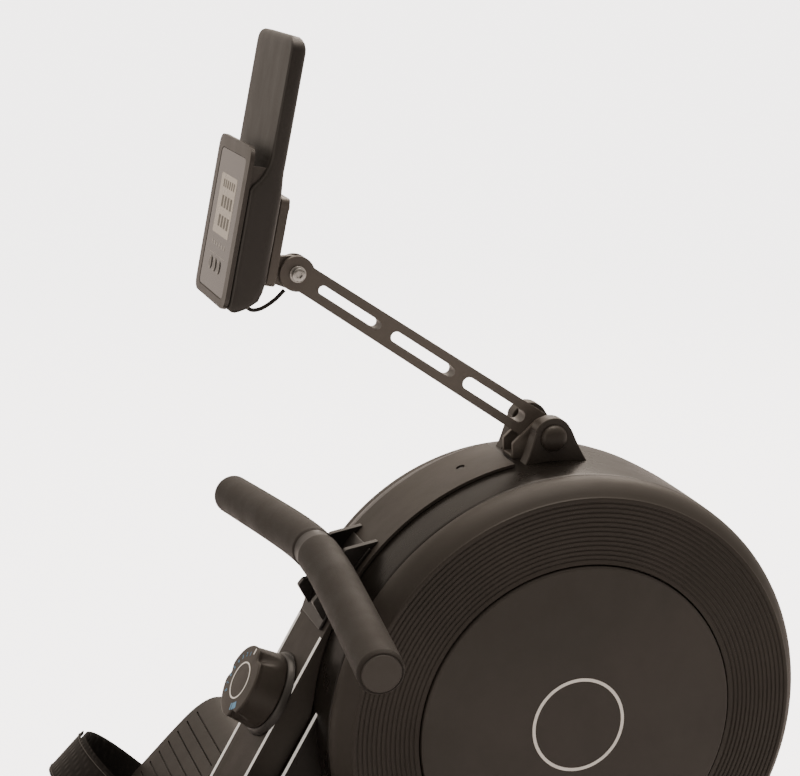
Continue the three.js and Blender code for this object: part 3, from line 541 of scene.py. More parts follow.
def ribbon(path, across, width, thickness):
    """A flat strap along a path; across is its width's direction."""
    path = [Vector(p) for p in path]
    across = Vector(across).normalized()
    rings = []
    for i, point in enumerate(path):
        tangent = (path[min(i + 1, len(path) - 1)] - path[max(i - 1, 0)]).normalized()
        normal = across.cross(tangent).normalized()
        half = [(w, t) for w, t in ((-0.5, -0.5), (-0.44, 0.5), (0.44, 0.5), (0.5, -0.5))]
        rings.append([point + across * w * width + normal * t * thickness for w, t in half])
    return loft(rings)


def merged(*shapes):
    verts, faces = [], []
    for more, tris in shapes:
        start = len(verts)
        verts += list(more)
        faces += [tuple(i + start for i in f) for f in tris]
    return verts, faces


HUB_PLACE = Matrix.Translation(HUB) @ Matrix.Diagonal((MM, MM, MM, 1))


def spot(x, z, turn=0.0):
    """Placement of a group turned about y, as in the frame."""
    return HUB_PLACE @ Matrix.Translation((x, 0, z)) @ Matrix.Rotation(math.radians(turn), 4, "Y")


tilt_x = ARM_PIVOT[0] - ARM_LENGTH * math.cos(math.radians(ARM_ANGLE))
tilt_z = ARM_PIVOT[1] + ARM_LENGTH * math.sin(math.radians(ARM_ANGLE))
ARM_PLACE = spot(*ARM_PIVOT, ARM_ANGLE)
CONSOLE_PLACE = spot(tilt_x, tilt_z, CONSOLE_TILT)
PEDAL_PLACE = spot(*PEDAL_AXLE, -PEDAL_ANGLE)
RAIL_PLACE = spot(*FOLD_PIVOT)
SEAT_PLACE = RAIL_PLACE @ Matrix.Translation((SEAT_X, 0, 0))


def face_place():
    """Frame on the column's face at the knob: y outwards, x uphill."""
    x, z = on_face(BAND_R, KNOB_ALONG)
    slope = math.radians(COLUMN_SLOPE)
    outward = Vector((-math.sin(slope), 0, math.cos(slope)))
    uphill = Vector((math.cos(slope), 0, math.sin(slope)))
    across = uphill.cross(outward)
    turn = Matrix((uphill, outward, across)).transposed().to_4x4()
    return HUB_PLACE @ Matrix.Translation((x, 0, z)) @ turn


KNOB_PLACE = face_place()


def piece(name, shape, mat, body, slot, place=HUB_PLACE, replaces=(), bevel=0.0,
          sharp=38, steps=2):
    """A mesh object in metres, with its material, body and the nodes it stands for; slot is not
    used.
    """
    verts, faces = shape
    mesh = bpy.data.meshes.new(name)
    mesh.from_pydata([place @ Vector(v) for v in verts], [], faces)
    bm = bmesh.new()
    bm.from_mesh(mesh)
    bmesh.ops.remove_doubles(bm, verts=bm.verts, dist=1e-6)
    bmesh.ops.recalc_face_normals(bm, faces=bm.faces)
    bm.to_mesh(mesh)
    bm.free()
    mesh.polygons.foreach_set("use_smooth", [True] * len(mesh.polygons))
    mesh.materials.append(MAT[mat])
    obj = bpy.data.objects.new(name, mesh)
    bpy.context.scene.collection.objects.link(obj)
    soften(obj, bevel, sharp, steps)
    if body:
        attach(obj, body)
    if replaces:
        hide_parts(*([replaces] if isinstance(replaces, str) else replaces))
    return obj


def on_console(name, shape, mat, slot, replaces=(), **more):
    return piece(name, shape, mat, "console", slot, CONSOLE_PLACE, replaces, **more)


def soften(obj, bevel, sharp=38, steps=2):
    """Rounds the sharp edges and keeps flat faces flat."""
    if bevel:
        edge = obj.modifiers.new("edges", "BEVEL")
        edge.width, edge.segments = bevel * MM, steps
        edge.limit_method, edge.angle_limit = "ANGLE", math.radians(sharp)
        edge.harden_normals = True
    else:
        obj.data.set_sharp_from_angle(angle=math.radians(sharp))


def carve(obj, *shapes, place=HUB_PLACE):
    """Cuts closed shapes out of a piece, before its other modifiers."""
    for verts, faces in shapes:
        mesh = bpy.data.meshes.new("cutter")
        mesh.from_pydata([place @ Vector(v) for v in verts], [], faces)
        bm = bmesh.new()
        bm.from_mesh(mesh)
        bmesh.ops.recalc_face_normals(bm, faces=bm.faces)
        bm.to_mesh(mesh)
        bm.free()
        cutter = bpy.data.objects.new("cutter", mesh)
        bpy.context.scene.collection.objects.link(cutter)
        cut = obj.modifiers.new("cut", "BOOLEAN")
        cut.object, cut.operation, cut.solver = cutter, "DIFFERENCE", "EXACT"
        with bpy.context.temp_override(object=obj, active_object=obj):
            bpy.ops.object.modifier_move_to_index(modifier=cut.name, index=0)
            bpy.ops.object.modifier_apply(modifier=cut.name)
        bpy.data.objects.remove(cutter)
    obj.data.polygons.foreach_set("use_smooth", [True] * len(obj.data.polygons))


# ------------------------------------------------------------------ housing

def groove_profile():
    """Face of the side cover from its inner edge out, with turned grooves."""
    face, depth, half = 96.5, 0.8, 0.9
    points = [(134.6, 90), (134.6, face - 0.4), (135.0, face)]
    for i in range(13):
        r = 139.5 + 3.85 * i
        low, high = r - half, r + half
        points += [(low - 0.35, face), (low, face - 0.12), (low + 0.3, face - depth),
                   (high - 0.3, face - depth), (high, face - 0.12), (high + 0.35, face)]
    rim = [(188.7, face), (189.6, 96.2), (190, 95.5), (190.6, 94.9), (193.2, 92.8), (196.2, 89.6),
           (198.8, 86.0), (200.6, 82.4), (201.6, 79.0), (202, 75.6), (202, 74.5), (201.6, 74.3)]
    inner = [(198.5, 74.3), (196.8, 81), (193, 87), (187.5, 92.5), (138, 92.5), (138, 90)]
    return points + rim + inner


def span(side, first, second):
    """Two depths on one side of the middle plane, in rising order."""
    return sorted((side * first, side * second))


def mirror(profile, side):
    return [(r, side * d) for r, d in profile]


def ear_outline():
    px, pz = ARM_PIVOT
    left = smooth_curve([(-25, 198), (-21, 206), (-17.2, 216.5), (-13.8, 227.5)], 5)
    right = smooth_curve([(17.5, 227), (22.8, 215), (28.6, 204), (34.5, 194.5)], 5)
    top = arc(16.6, 156, 24, 12, (px, pz))
    return [tuple(p) for p in left] + top + [tuple(p) for p in right]


def housing():
    for side, name in SIDES:
        squeeze = 1 if side == RIGHT else LEFT_SQUEEZE
        cover = [(SIDE_DISC_R + (r - SIDE_DISC_R) * squeeze if r > SIDE_DISC_R else r, d)
                 for r, d in groove_profile()]
        piece(f"side_cover_{name}_turned", lathe(mirror(cover, side), 192), "cover",
              "frame", "cover_plastic", replaces=f"side_cover_{name}", sharp=30)
        disc = [(0, 95), (130.4, 95), (130.4, 90), (133.4, 90), (133.4, 97.2), (133.1, 97.9),
                (132.4, 98.4), (131.4, 98.5), (0, 98.5)]
        piece(f"side_disc_{name}_plate", lathe(mirror(disc, side), 128), "disc", "frame",
              "cover_plastic", replaces=f"side_disc_{name}", sharp=30)
        ring = [(37.2, 98.45), (37.2, 98.75), (39.8, 98.75), (39.8, 98.45)]
        piece(f"ring_mark_{name}", lathe(mirror(ring, side), 96), "white", "frame",
              "cover_plastic")
        wall = [(203, 0.15), (203, 25), (202.7, 50), (202.3, 70), (202, 73.4), (201.6, 74),
                (199, 74), (192, 74), (192, 71), (199, 71), (200, 0.15)]
        if side == LEFT:
            wall = [(203, 0.15), (202.4, 15), (201.5, 30), (199.6, 43), (197, 55), (193.6, 66),
                    (190.6, 73), (190, 74), (180, 74), (180, 71), (187, 71), (194, 54),
                    (200, 0.15)]
        piece(f"shell_{name}_drum", lathe(mirror(wall, side), 160), "shell", "frame",
              "black_plastic", replaces=f"shell_{name}", sharp=30)
        corner = on_face(COLUMN_BACK, root(COLUMN_BACK, COLUMN_FOOT - 1))
        outline = [on_face(COLUMN_BACK, -60), corner, (60, -215), (100, -150), (60, 0)]
        wedge = piece(f"shell_{name}_column", prism(outline, *span(side, 0.15, COLUMN_HALF)),
                      "shell", "frame", "black_plastic", bevel=1.2)
        carve(wedge, prism([on_face(COLUMN_BACK - 3, -50), (corner[0] + 4, corner[1] - 12),
                            (60, -230), (90, -150), (50, -8)],
                           *span(side, -2, COLUMN_HALF - 2.7)))
        piece(f"shell_{name}_ear", prism(ear_outline(), *span(side, 20, BAND_HALF)),
              "knob", "frame", "black_plastic", bevel=1.6, steps=3)
        cap = [(0, 33.3), (11, 33.3), (11.1, 34.6), (10.4, 36.2), (8.6, 37.8), (5.6, 39.0),
               (2.6, 39.5), (0, 39.6)]
        piece(f"pivot_cap_{name}_dome", lathe(mirror(cap, side), 48), "knob", "frame",
              "black_plastic", spot(*ARM_PIVOT), f"pivot_cap_{name}")


def cut_strap_slot(obj):
    """Cuts the webbing's way through a piece."""
    carve(obj, prism(rect(-65, -6, 65, 6), -13, 13), place=spot(-138.5, 84, 41.8))


def root(distance, foot=COLUMN_FOOT):
    """How far along the slope a line at that distance reaches the column's foot."""
    slope = math.radians(COLUMN_SLOPE)
    return (foot - distance * math.cos(slope)) / -math.sin(slope)


def column():
    outline = [*arc(BAND_R, BAND_TOP, BAND_FOOT, 40), on_face(BAND_R, root(BAND_R)),
               on_face(COLUMN_BACK + 0.3, root(COLUMN_BACK + 0.3)), on_face(COLUMN_BACK + 0.3, 95),
               *arc(HOUSING_R + 0.3, 173, BAND_TOP, 50)]
    cover = piece("column_cover_band", prism(outline, -BAND_HALF, BAND_HALF), "cover", "frame",
                  "cover_plastic", replaces="column_cover", bevel=1.4, steps=3)
    inner = [on_face(BAND_R - 3, 20), on_face(BAND_R - 3, root(BAND_R) + 12),
             on_face(BAND_R - 21, root(BAND_R) + 12), on_face(BAND_R - 21, 45)]
    carve(cover, prism(inner, 3 - BAND_HALF, BAND_HALF - 3))
    cut_strap_slot(cover)
    screw = HUB_PLACE @ Matrix.Rotation(math.radians(90 - SCREW_ANGLE), 4, "Y")
    pocket = rect(0, BAND_R - 3, 3.6, BAND_R + 2)
    carve(cover, standing(lathe(pocket, 24)), place=screw)
    head = [(0, BAND_R - 2.6), (3.0, BAND_R - 2.6), (3.0, BAND_R - 1.2), (0, BAND_R - 0.9)]
    piece("band_screw", standing(lathe(head, 24)), "dark", "frame", "black_plastic", screw)
    for side, name in SIDES:
        strip = [on_face(BAND_R - 0.5, 34), on_face(BAND_R - 0.5, 146),
                 on_face(BAND_R - 0.5, root(BAND_R) - 3), on_face(BAND_R + 0.35, root(BAND_R) - 3),
                 on_face(BAND_R + 0.35, 34)]
        # The white strips down the column's edges are painted highlights, where light catches the
        # edge bevels.
        for inner_y, outer_y, part in ((28.6, 30.0, "inner"), (30.5, 32.6, "outer")):
            piece(f"column_edge_highlight_{name}_{part}", prism(strip, *span(side, inner_y, outer_y)),
                  "highlight_paint", "frame", "cover_plastic", bevel=0.25)
        # The thin white line on the ledge between cover and shell is a painted reflection of the
        # light.
        line = [on_face(COLUMN_BACK - 0.5, 70), on_face(COLUMN_BACK - 0.5, root(COLUMN_BACK) - 3),
                on_face(COLUMN_BACK + 0.5, root(COLUMN_BACK) - 3), on_face(COLUMN_BACK + 0.5, 70)]
        piece(f"column_ledge_highlight_{name}", prism(line, *span(side, 38.5, 42.4)), "highlight_paint",
              "frame", "cover_plastic", bevel=0.25)


def cradle():
    back = [*arc(BAND_R + 0.3, 137, 150, 8), on_face(BAND_R + 0.3, 30), on_face(BAND_R + 3, 30),
            *arc(BAND_R + 3, 150, 137, 8)]
    plate = piece("cradle_plate", prism(back, -26, 26), "dark", "frame", "black_plastic",
                  replaces="handle_cradle", bevel=0.8)
    cut_strap_slot(plate)
    upper = rounded([*arc(BAND_R + 0.3, 134.5, 144, 6), (-170.5, 130.5), (-175.2, 137.2),
                     (-172.0, 142.6)], [0.4] * 7 + [3, 3.4, 3.4], 4)
    lower = rounded([*arc(BAND_R + 0.3, 148, 150, 1), on_face(BAND_R + 0.3, 27), (-191, 84),
                     (-200, 101), (-195.5, 106)], [0.4, 0.4, 0.4, 3, 2.6, 2.6], 4)
    for side, name in SIDES:
        for outline, part in ((upper, "upper"), (lower, "lower")):
            piece(f"cradle_finger_{name}_{part}", prism(outline, *span(side, 18.4, 24.2)),
                  "dark", "frame", "black_plastic", bevel=1.3, steps=3)


# ------------------------------------------------------------------ tension knob

def scooped(r, y, angle):
    """Three finger scoops, deepest at the rim of the face and fading towards the foot."""
    depth = 0.0
    for centre in (-95, -215, -335):
        turn = (math.degrees(angle) - centre + 180) % 360 - 180
        if abs(turn) < 16 and y > 11 and r > 24:
            depth = 4.2 * math.cos(math.radians(turn / 16 * 90)) ** 2 * min(1, (y - 11) / 17)
    return r - depth


def tension_knob():
    base = [(0, 0.3), (36, 0.3), (36.2, 1.2), (35.6, 2.4), (33.6, 5.6), (33, 6), (0, 6)]
    piece("knob_base_ring", lathe(base, 96), "dark", "frame", "black_plastic", KNOB_PLACE,
          "knob_base")
    side = [(32.2 - 2.2 * t, 8 + 20 * t) for t in (0, 0.2, 0.4, 0.6, 0.8, 0.9, 1.0)]
    body = [(0, 6.4), (31.8, 6.4), (32.2, 7), *side, (30.3, 28.9), (30.4, 29.8), (30.0, 30.6),
            (29.2, 31.0), (28.2, 31.1), (0, 31.1)]
    piece("tension_knob_grip", lathe(body, 180, scooped), "knob", "knob", "cover_plastic",
          KNOB_PLACE, "tension_knob", sharp=50)
    ring = [(14.6, 31.05), (14.6, 31.25), (15.9, 31.25), (15.9, 31.05)]
    piece("knob_ring_mark", lathe(ring, 72), "white", "knob", "cover_plastic", KNOB_PLACE)
    pointer = prism(rounded(rect(23.8, -0.9, 29.0, 0.9), 0.6, 3),
                    31.05, 31.35)
    piece("knob_pointer", pointer, "white", "knob", "cover_plastic", KNOB_PLACE)
    for i in range(8):
        angle = math.radians(-(16 + 17 * i))
        number(str(i + 1), 22.5, angle, 5.2)
    for i in range(3):
        angle = math.radians(-(204 + 9 * i))
        half = 0.9 + 0.45 * i
        bar = prism(rect(19.6, -half, 25.2, half), 31.05, 31.25)
        piece(f"knob_level_bar_{i}", bar, "blue", "knob", "cover_plastic",
              KNOB_PLACE @ Matrix.Rotation(-angle, 4, "Y"))


def number(text, radius, angle, size):
    """One digit on the dial, lying on the knob's face with its head outwards."""
    data = bpy.data.curves.new(f"digit_{text}", "FONT")
    data.body, data.size, data.extrude = text, size, 0.05
    data.align_x, data.align_y = "CENTER", "CENTER"
    source = bpy.data.objects.new(f"digit_{text}", data)
    bpy.context.scene.collection.objects.link(source)
    bpy.context.view_layer.update()
    mesh = bpy.data.meshes.new_from_object(source.evaluated_get(
        bpy.context.evaluated_depsgraph_get()))
    bpy.data.objects.remove(source)
    # Text lies in its own x-y plane: its up turns to the dial's outward direction.
    lie = Matrix(((0, 1, 0, radius), (0, 0, 1, 31.15), (1, 0, 0, 0), (0, 0, 0, 1)))
    mesh.transform(KNOB_PLACE @ Matrix.Rotation(-angle, 4, "Y") @ lie)
    mesh.materials.clear()
    mesh.materials.append(MAT["blue"])
    obj = bpy.data.objects.new(f"knob_digit_{text}", mesh)
    bpy.context.scene.collection.objects.link(obj)
    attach(obj, "knob")


# ------------------------------------------------------------------ console arm

def slot_loop(x0, x1, r):
    return [*arc(r, 90, 270, 12, (x0 + r, 0)), *arc(r, -90, 90, 12, (x1 - r, 0))]


def console_arm():
    outline = [*arc(13, 90, -90, 20), (-232, -11), *arc(14, -52, -308, 36, (-ARM_LENGTH, 0)),
               (-232, 11)]
    holes = [slot_loop(-83, -19, 5.2), slot_loop(-157, -93, 4.5), slot_loop(-229, -168, 3.7)]
    arm = piece("console_arm_bar", prism(outline, -7.5, 7.5, holes), "paint", "arm",
                "frame_paint", ARM_PLACE, "console_arm", bevel=1.1, steps=3)
    fork = prism(rect(-ARM_LENGTH - 20, -20, -ARM_LENGTH + 15.5, 20), -3.4, 3.4)
    carve(arm, fork, place=ARM_PLACE)
    hexagon = arc(2.7, 0, 300, 5)
    head = [(0, -12.3), (4.6, -12.3), (5.3, -11.8), (5.4, -9.2), (0, -9.2)]
    socket = on_console("tilt_bolt_head", lathe(head, 40), "steel", "bright_steel", "tilt_bolt",
                        bevel=0.2)
    carve(socket, prism(hexagon, -13, -10.4), place=CONSOLE_PLACE)
    for low, high, r, part in ((-9.1, -7.9, 6.6, "near"), (7.9, 9.1, 6.6, "far")):
        washer = rect(0, low, r, high)
        on_console(f"tilt_washer_{part}", lathe(washer, 40), "steel", "bright_steel", bevel=0.2)
    on_console("tilt_nut", prism(arc(6.2, 0, 300, 5), 9.2, 12.4), "steel", "bright_steel",
               bevel=0.5)
    on_console("tilt_shank", lathe(rect(0, -9, 3.9, 9), 24), "steel",
               "bright_steel")


# ------------------------------------------------------------------ console

def housing_ring(z, front, side_back, mid_back, half, front_r=5.0):
    """Cross-section of the console at one height, from above."""
    mid_half = max(half - 31, 8)
    corners = [(front, -half), (front, half), (side_back, half), (mid_back, mid_half),
               (mid_back, -mid_half), (side_back, -half)]
    flat = abs(mid_back - side_back) < 1
    radii = [front_r, front_r, 7, 2 if flat else 12, 2 if flat else 12, 7]
    return [(x, y, z) for x, y in rounded(corners, radii, 6)]


def console():
    front, back, mid, half = -60.7, -36.5, -28, 51
    sections = [(-29.7, -58.2, -54.5, -54.4, 48.5), (-28.4, -60.5, -51.5, -51.4, 50.3),
                (-26, front, -46.5, -46.4, half), (-22, front, -41.6, -41.4, half),
                (-19, front, -38.4, -37.6, half), (-12, front, -37, -32.5, half),
                (-5, front, back, -28.6, half), (0, front, back, mid, half),
                (58, front, back, mid, half), (63, front, back, -28.8, half),
                (67, -58.4, back, -30.6, half), (71, -55, back, -33, half),
                (75, -52.7, back, -35, half), (79, -51, back, -36, half),
                (84, -49.8, back, -36.4, half), (88, -49.3, back, -36.4, half),
                (120, -49, back, -36.4, half), (168, -49, back, -36.4, half),
                (171, -49, -36.8, -36.7, 50.5), (174.5, -48.9, -37.8, -37.7, 48.5),
                (177, -48.3, -39.4, -39.3, 45), (178.5, -46.8, -41.2, -41.1, 41.5)]
    rings = [housing_ring(z, f, s, m, h, 4.0 if z < 90 else 2.6) for z, f, s, m, h in sections]
    on_console("console_housing_shell", loft(rings), "console", "black_plastic",
               "console_housing", sharp=42)
    web = [(-60.9, 62), (-54.6, 70.4), (-50.4, 79.4), (-50.8, 80.6), (-60.9, 80.6)]
    for side, name in ((RIGHT, "near"), (LEFT, "far")):
        on_console(f"console_pocket_web_{name}", prism(web, *span(side, 44.6, 47)),
                   "bezel", "black_plastic", bevel=0.4)
    outer = rounded(rect(-49, -29.5, 49, 94), 11, 8)
    window = rounded(rect(-38.4, -23.4, 38.4, 84.4), 6, 8)
    on_console("console_bezel_frame", upright(prism(outer, -64.5, -61, [window])), "bezel",
               "gloss_black", "console_bezel", bevel=0.9, steps=3)
    backing = rounded(rect(-40, -25, 40, 86), 6, 6)
    on_console("console_bezel_back", upright(prism(backing, -62.5, -61.05)), "dark",
               "gloss_black")
    sheet = rounded(rect(-38, -23, 38, 84), 5.6, 8)
    on_console("console_glass_sheet", upright(prism(sheet, -64.2, -62.6)), "glass",
               "screen_glass", "console_glass", bevel=0.3)
    lcd = rounded(rect(-24, 20, 24, 66), 1.5, 3)
    on_console("console_lcd", upright(prism(lcd, -64.32, -64.1)), "lcd", "screen_glass")
    bars = []
    for row, (low, high) in enumerate(((56, 62), (41, 50), (26, 35))):
        for k in range(4 if row else 6):
            width = 5.4 if row else 3.2
            step = 8.6 if row else 6.2
            left = -19 + k * step
            bars.append(upright(prism(rect(left, low, left + width, high), -64.4, -64.3)))
    on_console("console_lcd_segments", merged(*bars), "segment", "screen_glass")
    dots = []
    for k in range(6):
        left = -21 + k * 7.6
        mark = rounded(rect(left, 11, left + 3.4, 14.4), 1, 2)
        dots.append(upright(prism(mark, -64.35, -64.15)))
    dots.append(upright(prism(rect(-26, 4.6, 26, 5.1), -64.35, -64.15)))
    on_console("console_icons", merged(*dots), "grey", "screen_glass")
    for name, y in (("left", 13), ("mid", 0), ("right", -13)):
        oval = [(y + 4 * math.cos(a), -3 + 5.5 * math.sin(a))
                for a in (2 * math.pi * k / 32 for k in range(32))]
        piece(f"button_{name}_cap", upright(prism(oval, -64.8, -62.4)), "gloss", f"button_{name}",
              "gloss_black", CONSOLE_PLACE, f"console_button_{name}", bevel=0.6)
        ring_out = [(y + (oy - y) * 0.86, -3 + (oz + 3) * 0.86) for oy, oz in oval]
        ring_in = [(y + (oy - y) * 0.7, -3 + (oz + 3) * 0.7) for oy, oz in oval]
        piece(f"button_{name}_mark", upright(prism(ring_out, -64.9, -64.7, [ring_in])), "grey",
              f"button_{name}", "gloss_black", CONSOLE_PLACE)
    back = rounded(rect(-22, -11, 22, 58), 5, 5)
    on_console("console_bracket_plate", upright(prism(back, -27.7, -20.2)), "paint",
               "frame_paint", "console_bracket", bevel=0.9, steps=3)
    lug = [(-21, 10), (-6, 13), *arc(13.6, 70, -100, 24), (-21, -10)]
    on_console("console_bracket_lug", prism(lug, -3, 3), "paint", "frame_paint", bevel=0.6)
    for y in (-11, 11):
        for z in (50, -4):
            verts, faces = lathe([(0, 0), (4.2, 0), (4.0, 1.6), (2.8, 2.6), (0, 2.8)], 24)
            screw = [(-20.2 + v[1], y + v[0], z + v[2]) for v in verts]
            on_console(f"bracket_screw_{'near' if y < 0 else 'far'}_{z + 4}", (screw, faces),
                       "steel", "bright_steel")
    route = smooth_curve([(-39.3, 4, -21.3), (-37.2, 4, -26), (-34, 4, -31), (-28, 4, -34.5),
                          (-20, 4, -32), (-11, 4, -24), (-4.8, 4, -15.4)], 8)
    cable = on_console("console_cable_sleeve", tube(route, 1.6, 16), "rubber", "black_rubber",
                       "console_cable")


# ------------------------------------------------------------------ handle

def bow(y):
    soft = 6
    sag = math.hypot((HANDLE_BOW + soft) * (y - HANDLE_SHIFT) / HANDLE_HALF, soft) - soft
    off = (HANDLE_BOW - sag) / math.sqrt(2)
    return Vector((HANDLE_CHORD[0] + off, y, HANDLE_CHORD[1] + off))


def bow_path(start, stop, steps=40):
    return [bow(start + (stop - start) * i / steps) for i in range(steps + 1)]


def handle():
    grip_length = 218

    def grip_radius(t):
        """Foam with a soft roll at both ends."""
        end = min(t, 1 - t) * grip_length
        return 17.75 - 1.5 * max(0, 1 - end / 2.2) ** 2

    right_path = bow_path(HANDLE_SHIFT - HANDLE_HALF, 9, 100)
    left_path = bow_path(21, HANDLE_SHIFT + HANDLE_HALF, 100)
    piece("grip_right_foam", tube(right_path, grip_radius, 48), "grip",
          "handle", "soft_grip", replaces="grip_right", sharp=55)
    piece("grip_left_foam", tube(left_path, grip_radius, 48), "grip",
          "handle", "soft_grip", replaces="grip_left", sharp=55)
    for side, name in SIDES:
        end = HANDLE_SHIFT + side * HANDLE_HALF
        inward = bow_path(end - side * 3, end + side * 0.9, 6)
        piece(f"grip_cap_{name}", tube(inward, lambda t: 15.2 - 0.9 * max(0, t - 0.7) / 0.3, 40),
              "cap", "handle", "soft_grip", sharp=40)
    piece("handle_sleeve_ring", tube(bow_path(8.6, 21.4, 10), lambda t: 16.4 + 0.5 * min(
        1, 6 * abs(t - 0.5) ** 3), 48), "dark", "handle", "gloss_black",
          replaces="handle_sleeve", sharp=50)
    top, foot = Vector((-171.5, 0, 113.6)), Vector((-90.4, 0, 41.1))
    line = [top.lerp(foot, i / 60) for i in range(61)]
    strap = piece("pull_strap_webbing", ribbon(line, (0, 1, 0), 22, 1.8), "pull", None,
                  "webbing", replaces="pull_strap")
    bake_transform(strap)


# ------------------------------------------------------------------ foot plates

def pedals():
    inner, outer = 48, 163
    top = smooth_curve([(-165, 30), (-140, 31), (-60, 32.2), (60, 33), (110, 32.6),
                        (130, 30.5), (143, 25.5), (150.5, 17.5)], 6)
    under = smooth_curve([(146, 14.5), (138, 20), (120, 24.5), (60, 25.5), (-60, 24.5),
                          (-150, 23), (-166, 22)], 6)
    outline = [(p.x, p.y) for p in top + under]
    heel = rounded([(-150, 22), (-166, 21), (-177, 34), (-180.5, 73), (-176, 79), (-170, 76),
                    (-166, 40), (-150, 30.5)], [1, 5, 8, 4, 3, 3, 7, 1], 5)
    wall = rounded([(-178, 24), (-179.5, 70), (-168, 71), (-148, 60), (-104, 37), (-84, 31),
                    (-84, 26)], [1, 3, 5, 14, 20, 4, 1], 6)
    web = rounded([(-42, 25), (42, 25), (12, -4), (-12, -4)], [1, 1, 5, 5], 4)
    for side, name in SIDES:
        body = f"pedal_{name}"

        def part(label, shape, **more):
            return piece(f"{body}_{label}", shape, "pedal", body, "cover_plastic", PEDAL_PLACE,
                         **more)

        low, high = span(side, inner, outer)
        plate = part("plate", prism(outline, low, high), replaces=body, bevel=1.6, steps=3)
        ribs = []
        for u in range(-138, 127, 12):
            ribs.append(prism(rect(u - 0.7, 30.2, u + 0.7, 36), low + 9, high - 9))
        carve(plate, *[shift_to_top(rib) for rib in ribs], place=PEDAL_PLACE)
        part("heel", prism(heel, low, high), bevel=1.6, steps=3)
        for a, b, label in ((inner, inner + 6, "inner"), (outer - 6, outer, "outer")):
            part(f"wall_{label}", prism(wall, *span(side, a, b)), bevel=1.4, steps=3)
        boss = [(8.3, inner), (13.5, inner), (14, inner + 1), (14, outer - 1), (13.5, outer),
                (8.3, outer)]
        part("boss", lathe(mirror(boss, side), 40))
        for k, depth in enumerate((58, 105, 150)):
            part(f"web_{k}", prism(web, *span(side, depth - 4, depth + 4)), bevel=0.8)
        foot_strap(side, name, body, side * (inner + outer) / 2)


def shift_to_top(rib):
    """Sets a groove cutter's floor below the plate's slightly crowned top."""
    verts, faces = rib
    middle = sum(v[0] for v in verts) / len(verts)
    top = 31 + 0.01 * (middle + 140) if middle < 60 else 33 - 0.0005 * (middle - 60) ** 2
    moved = [(x, y, top - 1.2 if z < 33 else z) for x, y, z in verts]
    return moved, faces


def strap_arch(middle, spread, rise, base, steps=28):
    """Points of a strap arched over the foot plate, from one edge to the other."""
    points = []
    for i in range(steps + 1):
        a = math.pi * i / steps
        lift = math.sin(a) ** 0.75
        points.append((35, middle + spread * math.cos(a), base + rise * lift))
    return points


def foot_strap(side, name, body, middle):
    under = strap_arch(middle, 61.2, 83.5, 28)
    piece(f"foot_strap_{name}_band", ribbon(under, (1, 0, 0), 44, 2.2), "strap", body, "webbing",
          PEDAL_PLACE, f"foot_strap_{name}", sharp=50)
    flap = [p for p in strap_arch(middle, 62.4, 86.2, 29) if side * (p[1] - middle) < 34]
    if side < 0:
        flap = list(reversed(flap))
    piece(f"foot_strap_{name}_flap", ribbon(flap, (1, 0, 0), 40, 1.8), "strap", body, "webbing",
          PEDAL_PLACE, sharp=50)
    for k, u in enumerate((17.5, 52.5)):
        seam = [(u, p[1], p[2] + 1.3) for p in flap[1:-1]]
        piece(f"foot_strap_{name}_stitch_{k}", tube(seam, 0.35, 6), "thread", body, "webbing",
              PEDAL_PLACE)
    tip = Vector(flap[-1])
    loop = [tip + Vector((u, 0, 0)) + Vector((0, side * -v, w)) for u, v, w in (
        (10, 1, 0.5), (13, -3, 3), (16.5, -4.5, 5.5), (19.6, -3.5, 4.2), (20.5, 1, 1))]
    piece(f"foot_strap_{name}_pull_loop", tube(smooth_curve(loop, 5), 1.3, 12), "red", body,
          "webbing", PEDAL_PLACE)


# ------------------------------------------------------------------ seat

def seat_outline(grow=0.0, count=72):
    """Plan of the seat, from above: wide, with its front edge dipping in."""
    points = []
    for k in range(count):
        a = 2 * math.pi * k / count
        c, s = math.cos(a), math.sin(a)
        x = 108 * math.copysign(abs(c) ** 0.62, c)
        y = 147 * math.copysign(abs(s) ** 0.62, s)
        if x > 0:
            x -= 13 * (1 - (y / 147) ** 2) * (x / 108)
        points.append((x * (1 + grow / 108), y * (1 + grow / 147)))
    return points


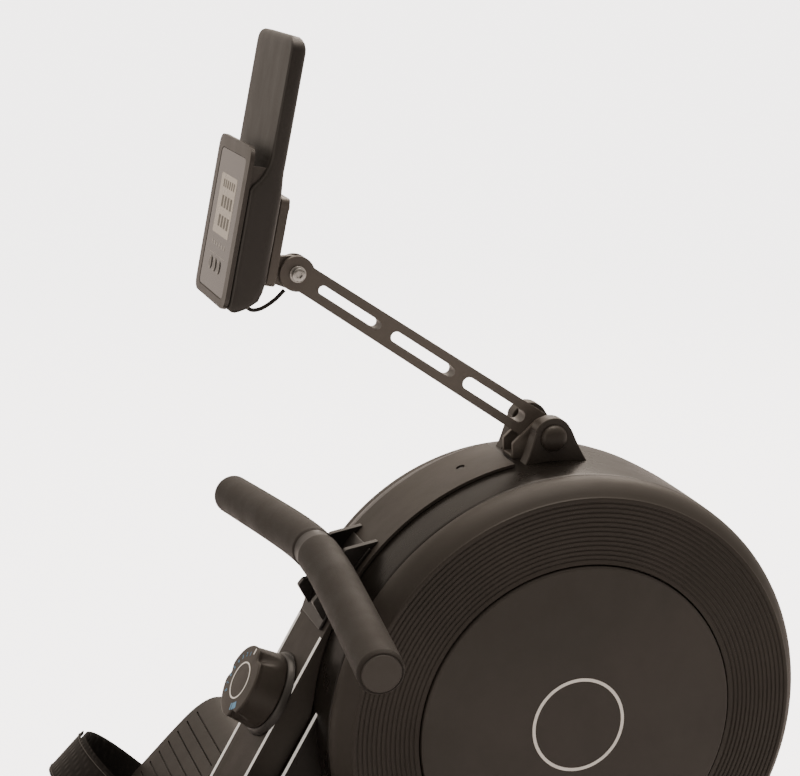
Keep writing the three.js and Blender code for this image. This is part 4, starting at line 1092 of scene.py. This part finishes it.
def seat():
    base_z = 65.3
    rings = []
    for height, grow in ((0, -6), (1, -3), (8, 0), (20, 1.5), (30, 0), (37, -5), (41, -12),
                         (43, -24), (44, -40), (42.5, -60), (40.5, -80)):
        ring = []
        for x, y in seat_outline(grow):
            z = base_z + height
            if height > 20:
                dish = 5.0 * (1 - min(1, (x / 112) ** 2)) * math.cos(min(1, abs(y) / 150) * 1.2)
                z -= dish * (height - 20) / 24
            ring.append((x, y, z))
        rings.append(ring)
    pad = piece("seat_pad_cushion", loft(rings), "seat", "seat", "seat_cover", SEAT_PLACE,
                "seat_pad", sharp=70)
    for height, grow, part in ((12, 0.9, "lower"), (34, -2.0, "upper")):
        seam = [(x, y, base_z + height) for x, y in seat_outline(grow)]
        seam.append(seam[0])
        piece(f"seat_piping_{part}", tube(seam, 1.1, 8), "thread", "seat", "seat_cover",
              SEAT_PLACE)


# ------------------------------------------------------------------ frame nodes kept from CAD

CAD_LOOKS = {
    "paint": ("base_beam", "axle_plate_right", "axle_plate_left", "console_post",
              "front_stabiliser", "mid_support", "rear_leg", "seat_carriage"),
    "rubber": ("front_cap_right", "front_cap_left", "rear_foot_right", "rear_foot_left",
               "transport_wheel_right", "transport_wheel_left"),
    "dark": ("rail_end_cap", "fold_clamp_knob", "strap_drum", "seat_roller_front",
             "seat_roller_rear"),
    "steel": ("flywheel_axle", "drum_axle", "magnet_bracket", "pedal_axle", "fold_axle",
              "arm_pin", "handle_tube"),
    "rail": ("rail",),
    "iron": ("flywheel",),
    "belt": ("drive_belt",),
}


def dress_frame():
    for mat, nodes in CAD_LOOKS.items():
        for name in nodes:
            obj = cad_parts[name]
            obj.data.materials.clear()
            obj.data.materials.append(MAT[mat])
            obj.data.polygons.foreach_set("use_smooth", [True] * len(obj.data.polygons))
            weld = obj.modifiers.new("weld", "WELD")
            weld.merge_threshold = 1e-5
            soften(obj, 0.6, 32)


place_camera()
studio()
dress_frame()
housing()
column()
cradle()
tension_knob()
console_arm()
console()
handle()
pedals()
seat()
